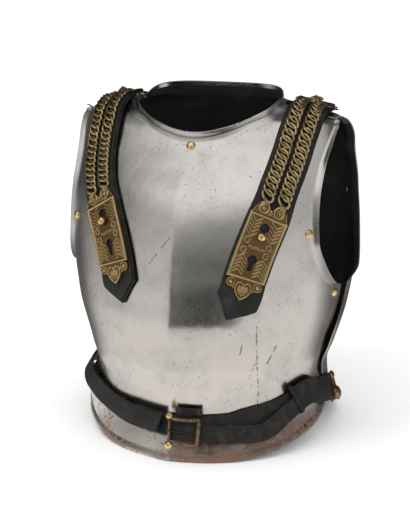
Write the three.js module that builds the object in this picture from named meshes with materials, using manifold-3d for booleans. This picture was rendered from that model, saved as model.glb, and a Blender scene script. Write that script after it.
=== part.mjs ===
// A cuirass: breastplate and backplate, joined over the shoulders by two chain-covered straps and round
// the waist by a buckled belt. Millimetres, +Z up, the breast faces -Y, the wearer's left is +X.
import * as THREE from "three";
import { mergeVertices } from "three/addons/utils/BufferGeometryUtils.js";
import Module from "manifold-3d";

const wasm = await Module();
wasm.setup();

// ---- driving dimensions ----
const BREAST_THICKNESS = 2.8;
const BACK_THICKNESS = 1.6;
const SEAM_GAP = 1.5; // from the seam plane to each plate's edge
const NECK_HALF_WIDTH = 88;
const NECK_CORNER_Z = 403;
const NECK_CORNER_U = 0.5454; // of the way round from the middle of a plate to its side edge
const COLLAR_RISE = 16.5; // of the back's neck edge in the middle, over its corners
const ARM_LOW = 186; // foot of the arm openings
const LIP_HEIGHT = 6; // how far the arm and neck edges turn out
const COLLAR_LIP = 10; // the same along the back's neck edge
const SHOULDER_LIP = 8.5; // and at the top of the back's arm edges
const LIP_WIDTH = 13;
const RIM_WIDTH = 6; // raised border along the foot of the flange
const RIM_HEIGHT = 1;
const LEATHER = 2;
const PLAY = 0.35; // air between one layer and the next
const STRAP_WIDTH = 43; // under the chains; it widens under the brass plate
const STRAP_TIP_WIDTH = 47;
const LINING_EXTRA = 1.6;
const PLATE_WIDTH = 45;
const PLATE_BASE = 2.2;
const CHAIN_WIDTH = 17;
const CHAIN_DEPTH = 4;
const CHAIN_OFFSET = 9.8; // of each row from the middle of its strap
const RIVET_RADIUS = 5.6;
const BELT_WIDTH = 24; // of the strap with the buckle, and of the backing
const LONG_STRAP_HALF = 10.3; // of the long strap between its keeper and the buckle
const LONG_STRAP_OVER = 20.7; // of its upper edge over its middle line behind the keeper
const BELT_LEATHER = 2.2;
const BELT_RIVET_AT = 13; // from each end of the belt
const BUCKLE_WIDTH = 33.5; // between the middles of its two upright bars
const BUCKLE_OPENING = 26.8;
const BAR_RADIUS = 1.6;
const BALL_RADIUS = 4.6;
const BAR_LEAN = 0.09; // of the balled bar, in radians
const BUCKLE_LIFT = 2.4; // of the frame above the strap that runs through it
const TONGUE_REACH = 24.5; // from the balled bar
const KEEPER_X = 137;
const KEEPER_WIDTH = 6.5;
const TAB_TURN = 8.5;
const TAB_Z = 54;
const TAB_HEIGHT = 10;

// Level sections of the two plates, from the foot up: how far the middle stands out, the half width, and
// the angle round the section at which the plate ends, which is 90 degrees at the side seams.
const BREAST_ROWS = [
  { z: 0, depth: 174, width: 167, edge: 90 },
  { z: 20, depth: 160, width: 161, edge: 90 },
  { z: 48, depth: 134, width: 155, edge: 90 },
  { z: 75, depth: 136, width: 142, edge: 90 },
  { z: 110, depth: 144, width: 149, edge: 90 },
  { z: 160, depth: 147, width: 164, edge: 90 },
  { z: 186, depth: 143, width: 169, edge: 89 },
  { z: 200, depth: 140, width: 171, edge: 76 },
  { z: 225, depth: 132, width: 172.5, edge: 67 },
  { z: 255, depth: 122, width: 173, edge: 61.5 },
  { z: 300, depth: 102, width: 174, edge: 60 },
  { z: 335, depth: 76, width: 171, edge: 63 },
  { z: 358, depth: 59, width: 166, edge: 70 },
  { z: 373, depth: 50, width: 161, edge: 79 },
  { z: 384, depth: 39, width: 157, edge: 90 },
  { z: 394, depth: 25, width: 123, edge: 115 },
  { z: 403, depth: 10, width: 88, edge: 165 },
];
const BACK_ROWS = [
  { z: 0, depth: 108, width: 160, edge: 90 },
  { z: 20, depth: 103, width: 155, edge: 90 },
  { z: 48, depth: 100, width: 152, edge: 90 },
  { z: 78, depth: 96, width: 146.5, edge: 90 },
  { z: 105, depth: 103, width: 155, edge: 90 },
  { z: 150, depth: 118, width: 168, edge: 90 },
  { z: 186, depth: 130, width: 174, edge: 89 },
  { z: 200, depth: 134, width: 176, edge: 76 },
  { z: 225, depth: 141, width: 178, edge: 68 },
  { z: 255, depth: 147, width: 178.5, edge: 64 },
  { z: 300, depth: 148, width: 176.5, edge: 62 },
  { z: 340, depth: 134, width: 171.5, edge: 64 },
  { z: 362, depth: 116, width: 167, edge: 72 },
  { z: 375, depth: 103, width: 163, edge: 79 },
  { z: 386, depth: 90, width: 159, edge: 90 },
  { z: 395, depth: 79, width: 124, edge: 115 },
  { z: 403, depth: 70, width: 88, edge: 165 },
  { z: 420, depth: 59, width: 88, edge: 165 },
];
// How far the side seams lie behind the middle of the body at each level, and how far the beaten flange
// has gone over to the wearer's left.
const SEAM_ROWS = [
  { z: 0, shift: 24, lean: 6 },
  { z: 20, shift: 21, lean: 5 },
  { z: 48, shift: 10, lean: -3 },
  { z: 78, shift: 10, lean: 0 },
  { z: 170, shift: 10, lean: 0 },
  { z: 290, shift: 0, lean: 0 },
  { z: 420, shift: 0, lean: 0 },
];
// Middle line of each shoulder strap up the breast: distance from the keel line at each height.
const STRAP_ROWS = [
  { z: 174, left: 70, right: 56 },
  { z: 197, left: 81, right: 62 },
  { z: 220, left: 86.5, right: 68 },
  { z: 252, left: 95.5, right: 79 },
  { z: 287, left: 106.5, right: 96.5 },
  { z: 318, left: 113, right: 111 },
  { z: 346, left: 118.5, right: 118 },
  { z: 372, left: 122.5, right: 118.5 },
];
const STRAP_FOOT_RISE = { left: 0, right: 4 }; // of each strap's first row
const STRAP_POINT_AT = { left: 0, right: 4 }; // of the leather's point along the strap
const STRAP_CREST_X = { left: 124.5, right: 120 };
const STRAP_BACK_ROWS = [
  { z: 387, left: 123.5, right: 119 },
  { z: 376, left: 121.5, right: 117 },
  { z: 355, left: 118.5, right: 115 },
];
// Distances along a strap from the point of its leather.
const PLATE_TIP = 21;
const PLATE_FOOT = 48;
const PLATE_HEAD = 122;
const LOW_HOLE = 72;
const LOW_SLOT_END = 58.5;
const HIGH_HOLE = 111;
const STUD_AT = 99;
const CHAIN_START = 139;
const CHAIN_END = 287;
const END_PLATE_LENGTH = 38;

// The belt's runs round the waist. turn is the angle round the section from the middle of the breast,
// positive towards the wearer's left; past 90 it is on the backplate. lift is the air below the leather.
const BUCKLE_STRAP_ROWS = [
  { turn: -118, z: 50, lift: 1.5 },
  { turn: -100, z: 52, lift: 4.5 },
  { turn: -82, z: 56.5, lift: 5 },
  { turn: -64, z: 58.5, lift: 4.5 },
  { turn: -44, z: 54.5, lift: 3.4 },
  { turn: -27, z: 46.5, lift: 4.4 },
  { turn: -12, z: 39, lift: 8.4 },
  { turn: -1, z: 36, lift: 8.8 },
];
const LONG_STRAP_ROWS = [
  { turn: 100, z: 36, lift: 0.8, over: LONG_STRAP_OVER },
  { turn: 93, z: 41, lift: 0.9, over: LONG_STRAP_OVER },
  { turn: 83, z: 48, lift: 2.6, over: LONG_STRAP_OVER },
  { turn: 70, z: 56.5, lift: 4.4, over: LONG_STRAP_OVER },
  { turn: 52, z: 44, lift: 5.6, over: LONG_STRAP_HALF },
  { turn: 38, z: 28.5, lift: 7, over: LONG_STRAP_HALF },
  { turn: 26, z: 27.5, lift: 7.4, over: LONG_STRAP_HALF },
  { turn: 14, z: 27.5, lift: 7.8, over: LONG_STRAP_HALF },
  { turn: 0.3, z: 28.5, lift: 7.8, over: LONG_STRAP_HALF },
];
const BACKING_ROWS = [
  { turn: 73, z: 62, lift: 0.8 },
  { turn: 62, z: 58, lift: 0.8 },
  { turn: 48, z: 51, lift: 0.7 },
  { turn: 34, z: 44.5, lift: 0.8 },
  { turn: 26, z: 39, lift: 0.8 },
  { turn: 16, z: 37, lift: 0.8 },
  { turn: 2, z: 36, lift: 0.8 },
  { turn: -14, z: 39, lift: 0.8 },
];
// How far above the middle line of the belt's end each lobe of its riveted plate lies.
const BELT_LOBES = {
  left: { large: -6, small: 17 },
  right: { large: -6, small: 12 },
};

// ---- curves through a table ----
// A smooth curve through one column of a table that never swings past its rows.
function columnCurve(rows, name) {
  const z = rows.map((row) => row.z);
  const value = rows.map((row) => row[name]);
  const step = z.slice(1).map((top, i) => top - z[i]);
  const rise = step.map((length, i) => (value[i + 1] - value[i]) / length);
  const slope = z.map((_, i) => {
    if (i === 0) return rise[0];
    if (i === z.length - 1) return rise[i - 1];
    if (rise[i - 1] * rise[i] <= 0) return 0;
    const near = 2 * step[i] + step[i - 1];
    const far = step[i] + 2 * step[i - 1];
    return (near + far) / (near / rise[i - 1] + far / rise[i]);
  });
  return (height) => {
    const at = Math.min(Math.max(height, z[0]), z[z.length - 1]);
    let i = 0;
    while (i < step.length - 1 && at > z[i + 1]) i += 1;
    const t = (at - z[i]) / step[i];
    const start = value[i] * (1 + 2 * t) * (1 - t) ** 2 + step[i] * slope[i] * t * (1 - t) ** 2;
    const end = value[i + 1] * t * t * (3 - 2 * t) + step[i] * slope[i + 1] * t * t * (t - 1);
    return start + end;
  };
}

function smoothStep(t) {
  const s = Math.min(Math.max(t, 0), 1);
  return s * s * (3 - 2 * s);
}

// ---- the two steel plates ----
function plateShape(rows, side, exponent, keel, neckDepth) {
  return {
    side,
    exponent,
    keel,
    neckDepth,
    depth: columnCurve(rows, "depth"),
    width: columnCurve(rows, "width"),
    edge: columnCurve(rows, "edge"),
    footRise: side < 0 ? 44 : 27,
    collarRise: side < 0 ? 0 : COLLAR_RISE,
    neckLip: side < 0 ? LIP_HEIGHT : COLLAR_LIP,
    shoulderLip: side < 0 ? LIP_HEIGHT : SHOULDER_LIP,
  };
}
const breast = plateShape(BREAST_ROWS, -1, 2.2, 9, 54);
const back = plateShape(BACK_ROWS, 1, 2.8, 0, 60);
const seamShift = columnCurve(SEAM_ROWS, "shift");
const flangeLean = columnCurve(SEAM_ROWS, "lean");

// A point of a plate's outer face, at an angle round the level section.
function sectionPoint(plate, degrees, z) {
  const angle = THREE.MathUtils.degToRad(degrees);
  const power = 2 / plate.exponent;
  const width = plate.width(z);
  const x = width * Math.sign(Math.sin(angle)) * Math.abs(Math.sin(angle)) ** power;
  const reach = plate.depth(z) * Math.max(0, Math.cos(angle)) ** power;
  const ridge = plate.keel * smoothStep((380 - z) / 140) * (1 - Math.abs(x) / width) ** 3;
  return new THREE.Vector3(x + flangeLean(z), plate.side * (SEAM_GAP + reach + ridge) + seamShift(z), z);
}

// The same face where x and z are known.
function facePoint(plate, x, z) {
  const share = Math.min(1, Math.abs(x) / plate.width(z));
  const degrees = THREE.MathUtils.radToDeg(Math.asin(share ** (plate.exponent / 2)));
  return sectionPoint(plate, Math.sign(x) * degrees, z);
}

function faceNormal(plate, x, z, reach = 9) {
  const limit = plate.width(z) * 0.995;
  const low = facePoint(plate, Math.max(x - reach, -limit), z);
  const high = facePoint(plate, Math.min(x + reach, limit), z);
  const under = facePoint(plate, x, z - reach);
  const over = facePoint(plate, x, z + reach);
  const normal = high.sub(low).cross(over.sub(under)).normalize();
  return plate.side < 0 ? normal : normal.negate();
}

// Height of the top edge at a column: the shoulder line, or the oval neck opening.
function topHeight(plate, u) {
  let low = 300;
  let high = NECK_CORNER_Z + plate.collarRise * Math.max(0, 1 - (u / NECK_CORNER_U) ** 4);
  for (let i = 0; i < 40; i += 1) {
    const z = (low + high) / 2;
    const degrees = Math.abs(u) * plate.edge(z);
    const p = sectionPoint(plate, Math.min(degrees, 90), z);
    const oval = (p.x / NECK_HALF_WIDTH) ** 2 + (p.y / plate.neckDepth) ** 2;
    if (degrees > 90 || oval < 1) high = z;
    else low = z;
  }
  return (low + high) / 2;
}

function footHeight(plate, u) {
  return plate.footRise * Math.max(0, (Math.abs(u) - 0.12) / 0.88) ** 1.8;
}

const topCache = new Map();
function plainPoint(plate, u, v) {
  const key = plate.side + "/" + Math.abs(u).toFixed(6);
  if (!topCache.has(key)) topCache.set(key, topHeight(plate, u));
  const foot = footHeight(plate, u);
  const z = foot + (topCache.get(key) - foot) * v;
  return sectionPoint(plate, Math.max(-90, Math.min(90, u * plate.edge(z))), z);
}

function plainNormal(plate, u, v) {
  const e = 1e-3;
  const across = plainPoint(plate, Math.min(1, u + e), v).sub(plainPoint(plate, Math.max(-1, u - e), v));
  const up = plainPoint(plate, u, Math.min(1, v + e)).sub(plainPoint(plate, u, Math.max(0, v - e)));
  const normal = across.cross(up).normalize();
  return plate.side < 0 ? normal : normal.negate();
}

// How far the face stands out from its plain form: turned lips at arms and neck, a rim at the foot.
function edgeRelief(plate, u, v) {
  const p = plainPoint(plate, u, v);
  const top = plainPoint(plate, u, 1);
  const fromArm = (1 - Math.abs(u)) * THREE.MathUtils.degToRad(plate.edge(p.z)) * 165;
  const arm = smoothStep((p.z - ARM_LOW) / 14) * Math.max(0, 1 - fromArm / LIP_WIDTH) ** 2;
  const oval = (top.x / NECK_HALF_WIDTH) ** 2 + (top.y / plate.neckDepth) ** 2;
  const atNeck = Math.abs(u) < NECK_CORNER_U + 1e-4 && Math.abs(oval - 1) < 0.02;
  const neck = atNeck ? Math.max(0, 1 - (top.z - p.z) / (LIP_WIDTH * 0.8)) ** 2 : 0;
  const fromFoot = p.z - plainPoint(plate, u, 0).z;
  const rim = smoothStep((RIM_WIDTH + 2 - fromFoot) / 2);
  const armLip = THREE.MathUtils.lerp(LIP_HEIGHT, plate.shoulderLip, smoothStep((p.z - 330) / 45));
  return Math.max(armLip * arm, plate.neckLip * neck) + RIM_HEIGHT * rim;
}

// Level at the foot, so that the foot's edge is flat underneath.
function outwardNormal(plate, u, v) {
  const normal = plainNormal(plate, u, v);
  return v === 0 ? normal.setZ(0).normalize() : normal;
}

function platePoint(plate, u, v) {
  return plainPoint(plate, u, v).addScaledVector(outwardNormal(plate, u, v), edgeRelief(plate, u, v));
}

// ---- making closed geometry ----
function closedGeometry(positions, triangles) {
  const geometry = new THREE.BufferGeometry();
  geometry.setAttribute("position", new THREE.Float32BufferAttribute(positions, 3));
  let volume = 0;
  const corner = [0, 1, 2].map(() => new THREE.Vector3());
  for (let i = 0; i < triangles.length; i += 3) {
    corner.forEach((c, k) => c.fromArray(positions, 3 * triangles[i + k]));
    volume += corner[0].dot(corner[1].clone().cross(corner[2]));
  }
  const order = [...triangles];
  if (volume < 0) {
    for (let i = 0; i < order.length; i += 3) [order[i + 1], order[i + 2]] = [order[i + 2], order[i + 1]];
  }
  geometry.setIndex(order);
  return geometry;
}

function toSolid(geometry) {
  const bare = geometry.clone();
  bare.deleteAttribute("normal");
  bare.deleteAttribute("uv");
  const merged = mergeVertices(bare, 1e-4);
  const vertProperties = new Float32Array(merged.attributes.position.array);
  const triVerts = new Uint32Array(merged.index.array);
  return new wasm.Manifold(new wasm.Mesh({ numProp: 3, vertProperties, triVerts }));
}

function toGeometry(solid) {
  const mesh = solid.getMesh();
  return closedGeometry(Array.from(mesh.vertProperties), Array.from(mesh.triVerts));
}

// A sheet given by a grid of points, made solid by a second face offset inwards.
function sheetGeometry(columns, rows, pointAt, normalAt, thickness) {
  const positions = [];
  const triangles = [];
  const wide = columns.length;
  const high = rows.length;
  for (const depth of [0, thickness]) {
    for (const v of rows) {
      for (const u of columns) {
        pointAt(u, v).addScaledVector(normalAt(u, v), -depth).toArray(positions, positions.length);
      }
    }
  }
  const outer = (i, j) => j * wide + i;
  const inner = (i, j) => wide * high + j * wide + i;
  const quad = (a, b, c, d) => triangles.push(a, b, c, a, c, d);
  for (let j = 0; j < high - 1; j += 1) {
    for (let i = 0; i < wide - 1; i += 1) {
      quad(outer(i, j), outer(i + 1, j), outer(i + 1, j + 1), outer(i, j + 1));
      quad(inner(i, j), inner(i, j + 1), inner(i + 1, j + 1), inner(i + 1, j));
    }
    quad(outer(0, j), outer(0, j + 1), inner(0, j + 1), inner(0, j));
    quad(outer(wide - 1, j + 1), outer(wide - 1, j), inner(wide - 1, j), inner(wide - 1, j + 1));
  }
  for (let i = 0; i < wide - 1; i += 1) {
    quad(outer(i + 1, 0), outer(i, 0), inner(i, 0), inner(i + 1, 0));
    quad(outer(i, high - 1), outer(i + 1, high - 1), inner(i + 1, high - 1), inner(i, high - 1));
  }
  return closedGeometry(positions, triangles);
}

// A band along a route: the outline at each station is a closed list of [across, out] pairs.
function bandGeometry(route, stations, outlineAt) {
  const positions = [];
  const triangles = [];
  const rings = stations.map((s) => outlineAt(s));
  const count = rings[0].length;
  stations.forEach((s, k) => {
    const frame = route(s);
    for (const [across, out] of rings[k]) {
      const p = frame.position.clone().addScaledVector(frame.across, across).addScaledVector(frame.out, out);
      p.toArray(positions, positions.length);
    }
  });
  for (let k = 0; k < stations.length - 1; k += 1) {
    for (let i = 0; i < count; i += 1) {
      const next = (i + 1) % count;
      const a = k * count + i;
      const b = k * count + next;
      // Layers lying on each other are split along the same diagonals, so a twist keeps them apart.
      if (rings[k][i][0] < rings[k][next][0]) triangles.push(a, b, b + count, a, b + count, a + count);
      else triangles.push(a, b, a + count, b, b + count, a + count);
    }
  }
  const last = (stations.length - 1) * count;
  const cap = (ring) => THREE.ShapeUtils.triangulateShape(ring.map(([a, h]) => new THREE.Vector2(a, h)), []);
  for (const [a, b, c] of cap(rings[0])) triangles.push(a, c, b);
  for (const [a, b, c] of cap(rings[rings.length - 1])) triangles.push(last + a, last + b, last + c);
  return closedGeometry(positions, triangles);
}

function stationsBetween(start, end, step) {
  const count = Math.max(1, Math.round((end - start) / step));
  return Array.from({ length: count + 1 }, (_, i) => start + ((end - start) * i) / count);
}

// Stations shared by all the layers of a strap, with the ends of one layer.
function strapStations(start, end) {
  const front = [...stationsBetween(3, 24, 7), ...stationsBetween(38, 206, 21)];
  const shared = [...front, ...stationsBetween(216, 336, 10)];
  return [start, ...shared.filter((s) => s > start + 1.5 && s < end - 1.5), end];
}

function boxOutline(halfWidth, low, high) {
  return [[-halfWidth, low], [halfWidth, low], [halfWidth, high], [-halfWidth, high]];
}

function ovalOutline(middle, halfWidth, low, high, sides) {
  const centre = (low + high) / 2;
  const half = (high - low) / 2;
  return Array.from({ length: sides }, (_, i) => {
    const angle = (2 * Math.PI * (i + 0.5)) / sides;
    return [middle + halfWidth * Math.cos(angle), centre + half * Math.sin(angle)];
  });
}

// ---- routes ----
// Turns a list of points with outward directions into a route by distance along it.
function makeRoute(points, outwards) {
  const curve = new THREE.CatmullRomCurve3(points, false, "centripetal");
  curve.arcLengthDivisions = 800;
  const length = curve.getLength();
  const route = (s) => {
    const share = Math.min(Math.max(s / length, 0), 1);
    const t = curve.getUtoTmapping(share);
    const along = curve.getTangent(t);
    const place = t * (points.length - 1);
    const i = Math.min(Math.floor(place), points.length - 2);
    const out = outwards[i].clone().lerp(outwards[i + 1], smoothStep(place - i));
    out.addScaledVector(along, -out.dot(along)).normalize();
    const across = along.clone().cross(out).normalize();
    const position = curve.getPoint(t).addScaledVector(along, s - share * length);
    return { position, along, across, out };
  };
  return { route, length };
}

// The steel faces, for finding how high they stand above a point.
const faces = [];
const caster = new THREE.Raycaster();
function faceHeight(origin, out) {
  caster.set(origin.clone().addScaledVector(out, 40), out.clone().negate());
  caster.far = 70;
  const [hit] = caster.intersectObjects(faces, false);
  return hit ? 40 - hit.distance : -30;
}

// How deep the inside of the steel lies below a point, at its deepest within a small circle.
function innerDepth(frame) {
  let deepest = 0;
  for (let i = 0; i < 9; i += 1) {
    const radius = i === 8 ? 0 : 3.8;
    const probe = frame.position.clone().addScaledVector(frame.across, radius * Math.cos((i * Math.PI) / 4));
    probe.addScaledVector(frame.along, radius * Math.sin((i * Math.PI) / 4));
    caster.set(probe.addScaledVector(frame.out, -40), frame.out.clone());
    caster.far = 60;
    const [hit] = caster.intersectObjects(faces, false);
    if (hit) deepest = Math.max(deepest, 40 - hit.distance);
  }
  return deepest;
}

// The same route raised until a band clears the steel, bridging the hollows. reachAt gives how far the
// band reaches to either side of its middle line.
function settledRoute(points, outwards, reachAt, liftAt) {
  const first = makeRoute(points, outwards);
  const stations = stationsBetween(0, first.length, 8);
  const frames = stations.map((s) => first.route(s));
  const needed = frames.map((frame, i) => {
    const [low, high] = reachAt(stations[i] / first.length);
    let highest = -4;
    for (const along of [-5, 0, 5]) {
      for (let k = 0; k <= 12; k += 1) {
        const across = low + ((high - low) * k) / 12;
        const probe = frame.position.clone().addScaledVector(frame.across, across);
        probe.addScaledVector(frame.along, along);
        highest = Math.max(highest, faceHeight(probe, frame.out));
      }
    }
    return highest;
  });
  let lifts = [...needed];
  for (let turn = 0; turn < 6; turn += 1) {
    lifts = lifts.map((lift, i) => {
      const before = lifts[Math.max(0, i - 1)];
      const after = lifts[Math.min(lifts.length - 1, i + 1)];
      return Math.max(needed[i], (before + 2 * lift + after) / 4);
    });
  }
  const raised = frames.map((frame, i) => {
    const lift = lifts[i] + liftAt(stations[i] / first.length);
    return frame.position.clone().addScaledVector(frame.out, lift);
  });
  return makeRoute(raised, frames.map((frame) => frame.out));
}

function strapRoute(name) {
  const sign = name === "left" ? 1 : -1;
  const points = [];
  const outwards = [];
  for (const [i, row] of STRAP_ROWS.entries()) {
    const z = row.z + (i === 0 ? STRAP_FOOT_RISE[name] : 0);
    points.push(facePoint(breast, sign * row[name], z));
    outwards.push(faceNormal(breast, sign * row[name], z, 12));
  }
  const crestX = STRAP_CREST_X[name];
  const slope = 17 / 70;
  const crestZ = NECK_CORNER_Z - (crestX - NECK_HALF_WIDTH) * slope + 1.2;
  points.push(new THREE.Vector3(sign * crestX, 0, crestZ));
  outwards.push(new THREE.Vector3(sign * slope, -0.1, 1).normalize());
  for (const row of STRAP_BACK_ROWS) {
    points.push(facePoint(back, sign * row[name], row.z));
    outwards.push(faceNormal(back, sign * row[name], row.z, 8));
  }
  const half = STRAP_WIDTH / 2 + LINING_EXTRA;
  return settledRoute(points, outwards, () => [-half, half], () => 0);
}

// A row's over is how far the leather reaches above its middle line, where that is not as far as below.
function beltRoute(rows, halfWidth = BELT_WIDTH / 2) {
  const points = [];
  const outwards = [];
  for (const row of rows) {
    const onBack = Math.abs(row.turn) > 90;
    const plate = onBack ? back : breast;
    const degrees = onBack ? Math.sign(row.turn) * (180 - Math.abs(row.turn)) : row.turn;
    const side = sectionPoint(plate, degrees - 4, row.z);
    const otherSide = sectionPoint(plate, degrees + 4, row.z);
    const under = sectionPoint(plate, degrees, row.z - BELT_WIDTH / 2);
    const over = sectionPoint(plate, degrees, row.z + BELT_WIDTH / 2);
    const out = otherSide.sub(side).cross(over.sub(under)).normalize();
    if (plate.side > 0) out.negate();
    points.push(sectionPoint(plate, degrees, row.z));
    outwards.push(out);
  }
  const valueAt = (share, name) => {
    const place = share * (rows.length - 1);
    const i = Math.min(Math.floor(place), rows.length - 2);
    return THREE.MathUtils.lerp(rows[i][name], rows[i + 1][name], smoothStep(place - i));
  };
  const reachAt = (share) => [-halfWidth, "over" in rows[0] ? valueAt(share, "over") : halfWidth];
  return settledRoute(points, outwards, reachAt, (share) => valueAt(share, "lift"));
}

function placed(geometry, frame, lift = 0, across = 0) {
  const turn = new THREE.Matrix4().makeBasis(frame.across, frame.along, frame.out);
  const position = frame.position.clone().addScaledVector(frame.out, lift);
  position.addScaledVector(frame.across, across);
  return geometry.clone().applyMatrix4(turn.setPosition(position));
}

// ---- small turned pieces; their axis is the frame's outward direction ----
function turned(profile, sides) {
  const lathe = new THREE.LatheGeometry(profile.map(([r, h]) => new THREE.Vector2(r, h)), sides);
  lathe.rotateX(Math.PI / 2);
  const flat = lathe.toNonIndexed();
  flat.deleteAttribute("normal");
  flat.deleteAttribute("uv");
  const merged = mergeVertices(flat, 1e-4);
  const kept = [];
  const index = merged.index.array;
  for (let i = 0; i < index.length; i += 3) {
    const [a, b, c] = [index[i], index[i + 1], index[i + 2]];
    if (a !== b && b !== c && a !== c) kept.push(a, b, c);
  }
  return closedGeometry(Array.from(merged.attributes.position.array), kept);
}

// A rivet through a sheet: dome outside, shank in its hole, peened end inside.
function rivetGeometry(depth, radius = RIVET_RADIUS, height = 4) {
  const inside = -(depth + PLAY);
  return turned(
    [
      [0, inside - 1.2],
      [3.6, inside - 0.8],
      [3.6, inside],
      [2, inside],
      [2, PLAY],
      [radius, PLAY],
      [radius * 0.78, height * 0.7],
      [0, height],
    ],
    8,
  );
}

function drill(radius = 2.4, length = 30) {
  return new THREE.CylinderGeometry(radius, radius, length, 8).rotateX(Math.PI / 2);
}

// ---- the ornamented brass plate of a strap, in strap coordinates ----
// Half width of the plate at each distance along the strap: palmette point, body, volute head.
function plateHalfWidth(s) {
  const body = PLATE_WIDTH / 2;
  if (s < PLATE_FOOT) {
    const t = (s - PLATE_TIP) / (PLATE_FOOT - PLATE_TIP);
    return 1.5 + (body - 3.5) * Math.sin((Math.PI / 2) * Math.min(1, t * 1.15)) ** 0.75;
  }
  if (s > PLATE_HEAD) return body - 3;
  return body;
}

function plateStations() {
  const tip = [PLATE_TIP, PLATE_TIP + 4, PLATE_TIP + 10, PLATE_TIP + 17, PLATE_FOOT - 0.4];
  const body = [PLATE_FOOT, 60, 84, 108, PLATE_HEAD];
  return [...tip, ...body, PLATE_HEAD + 0.4, PLATE_HEAD + 7];
}

function plateOutline(s, base) {
  const half = plateHalfWidth(s);
  const inBody = s >= PLATE_FOOT && s <= PLATE_HEAD;
  const rail = base + PLATE_BASE + (inBody ? 1.5 : 0.4);
  const floor = base + PLATE_BASE;
  const inset = Math.min(4, half * 0.6);
  return [
    [-half, base],
    [half, base],
    [half, rail],
    [half - inset * 0.75, rail],
    [half - inset, floor],
    [-half + inset, floor],
    [-half + inset * 0.75, rail],
    [-half, rail],
  ];
}

function strapPlateSolid(route, base) {
  const top = base + PLATE_BASE;
  let solid = toSolid(bandGeometry(route, plateStations(), (s) => plateOutline(s, base)));
  const join = (geometry, s, across, lift) => {
    solid = solid.add(toSolid(placed(geometry, route(s), lift, across)));
  };
  const cut = (geometry, s, across, lift) => {
    solid = solid.subtract(toSolid(placed(geometry, route(s), lift, across)));
  };
  const bar = new THREE.BoxGeometry(PLATE_WIDTH - 1, 3, 3.2);
  for (const s of [PLATE_FOOT + 1.6, PLATE_HEAD - 1.6]) join(bar, s, 0, top);
  const middleBar = new THREE.BoxGeometry(PLATE_WIDTH - 6, 2.2, 2.6);
  join(middleBar, (LOW_HOLE + HIGH_HOLE) / 2 - 3, 0, top - 0.3);
  const volute = turned([[0, -1.8], [8, -1.8], [7.6, 1.8], [4, 0.9], [2.6, 3.2], [0, 3.8]], 8);
  for (const across of [-12.2, 12.2]) join(volute, PLATE_HEAD + 7.2, across, top);
  const bead = turned([[0, -1.2], [3.4, -1.2], [2.4, 2], [0, 2.6]], 6);
  for (const across of [-16.8, 16.8]) join(bead, PLATE_FOOT - 3.4, across, top);
  join(bead, PLATE_HEAD + 8.5, 0, top);
  // The palmette: a fan of five rounded leaves.
  const fan = new THREE.Shape();
  for (let i = 0; i <= 10; i += 1) {
    const angle = Math.PI * (1.08 + (0.84 * i) / 10);
    const radius = 10.8 + 2.6 * Math.abs(Math.sin((i * Math.PI) / 2));
    if (i === 0) fan.moveTo(radius * Math.cos(angle), radius * Math.sin(angle));
    else fan.lineTo(radius * Math.cos(angle), radius * Math.sin(angle));
  }
  fan.lineTo(4, 0.5);
  fan.lineTo(-4, 0.5);
  const palmette = new THREE.ExtrudeGeometry(fan, { depth: 2.6, bevelEnabled: false });
  join(palmette, PLATE_FOOT - 6.5, 0, top - 1.2);
  const hole = new THREE.CylinderGeometry(5.4, 5.4, 14, 9).rotateX(Math.PI / 2);
  const slotLow = new THREE.BoxGeometry(5.6, LOW_HOLE - LOW_SLOT_END, 14);
  const slotHigh = new THREE.BoxGeometry(5.6, HIGH_HOLE - STUD_AT + 2.8, 14);
  cut(hole, LOW_HOLE, 0, top);
  cut(slotLow, (LOW_HOLE + LOW_SLOT_END) / 2, 0, top);
  cut(hole, HIGH_HOLE, 0, top);
  cut(slotHigh, (HIGH_HOLE + STUD_AT - 2.8) / 2, 0, top);
  return solid;
}

// ---- assembling the nodes ----
const group = new THREE.Group();
group.name = "cuirass";

const finishes = {
  steel: { color: 0xb9b8b4, roughness: 0.32, metalness: 1 },
  brass: { color: 0x9a7434, roughness: 0.38, metalness: 1 },
  chain: { color: 0x7a5f30, roughness: 0.45, metalness: 1 },
  copper: { color: 0x7d4a2c, roughness: 0.5, metalness: 1 },
  leather: { color: 0x24241f, roughness: 0.7, metalness: 0 },
};

function addNode(name, finish, geometry) {
  const material = new THREE.MeshStandardMaterial({ ...finishes[finish], name });
  const mesh = new THREE.Mesh(geometry, material);
  mesh.name = name;
  group.add(mesh);
}

// A seat on the steel for a rivet.
function seated(frame) {
  let highest = faceHeight(frame.position, frame.out);
  for (let i = 0; i < 8; i += 1) {
    const angle = (i * Math.PI) / 4;
    const probe = frame.position.clone().addScaledVector(frame.across, RIVET_RADIUS * Math.cos(angle));
    probe.addScaledVector(frame.along, RIVET_RADIUS * Math.sin(angle));
    const height = faceHeight(probe, frame.out);
    if (height < highest + 4) highest = Math.max(highest, height);
  }
  return { ...frame, position: frame.position.clone().addScaledVector(frame.out, highest + 0.3) };
}

function faceFrame(plate, x, z) {
  const out = faceNormal(plate, x, z, 6);
  const across = new THREE.Vector3(0, 0, 1).cross(out).normalize();
  return seated({ position: facePoint(plate, x, z), out, across, along: out.clone().cross(across) });
}

const mirrored = (half) => [...half.map((u) => -u).reverse(), 0, ...half];
const breastColumns = mirrored([0.12, 0.26, 0.4, NECK_CORNER_U, 0.66, 0.77, 0.86, 0.925, 0.96, 0.982, 1]);
const backColumns = mirrored([0.17, 0.36, NECK_CORNER_U, 0.7, 0.83, 0.92, 0.97, 1]);
const plateRows = [
  0, 0.016, 0.022, 0.055, 0.095, 0.15, 0.215, 0.29, 0.37, 0.46, 0.55, 0.63, 0.71, 0.79, 0.87, 0.92, 0.96,
  0.984, 1,
];

function plateSheet(plate, columns, thickness) {
  const pointAt = (u, v) => platePoint(plate, u, v);
  return sheetGeometry(columns, plateRows, pointAt, (u, v) => outwardNormal(plate, u, v), thickness);
}

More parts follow.
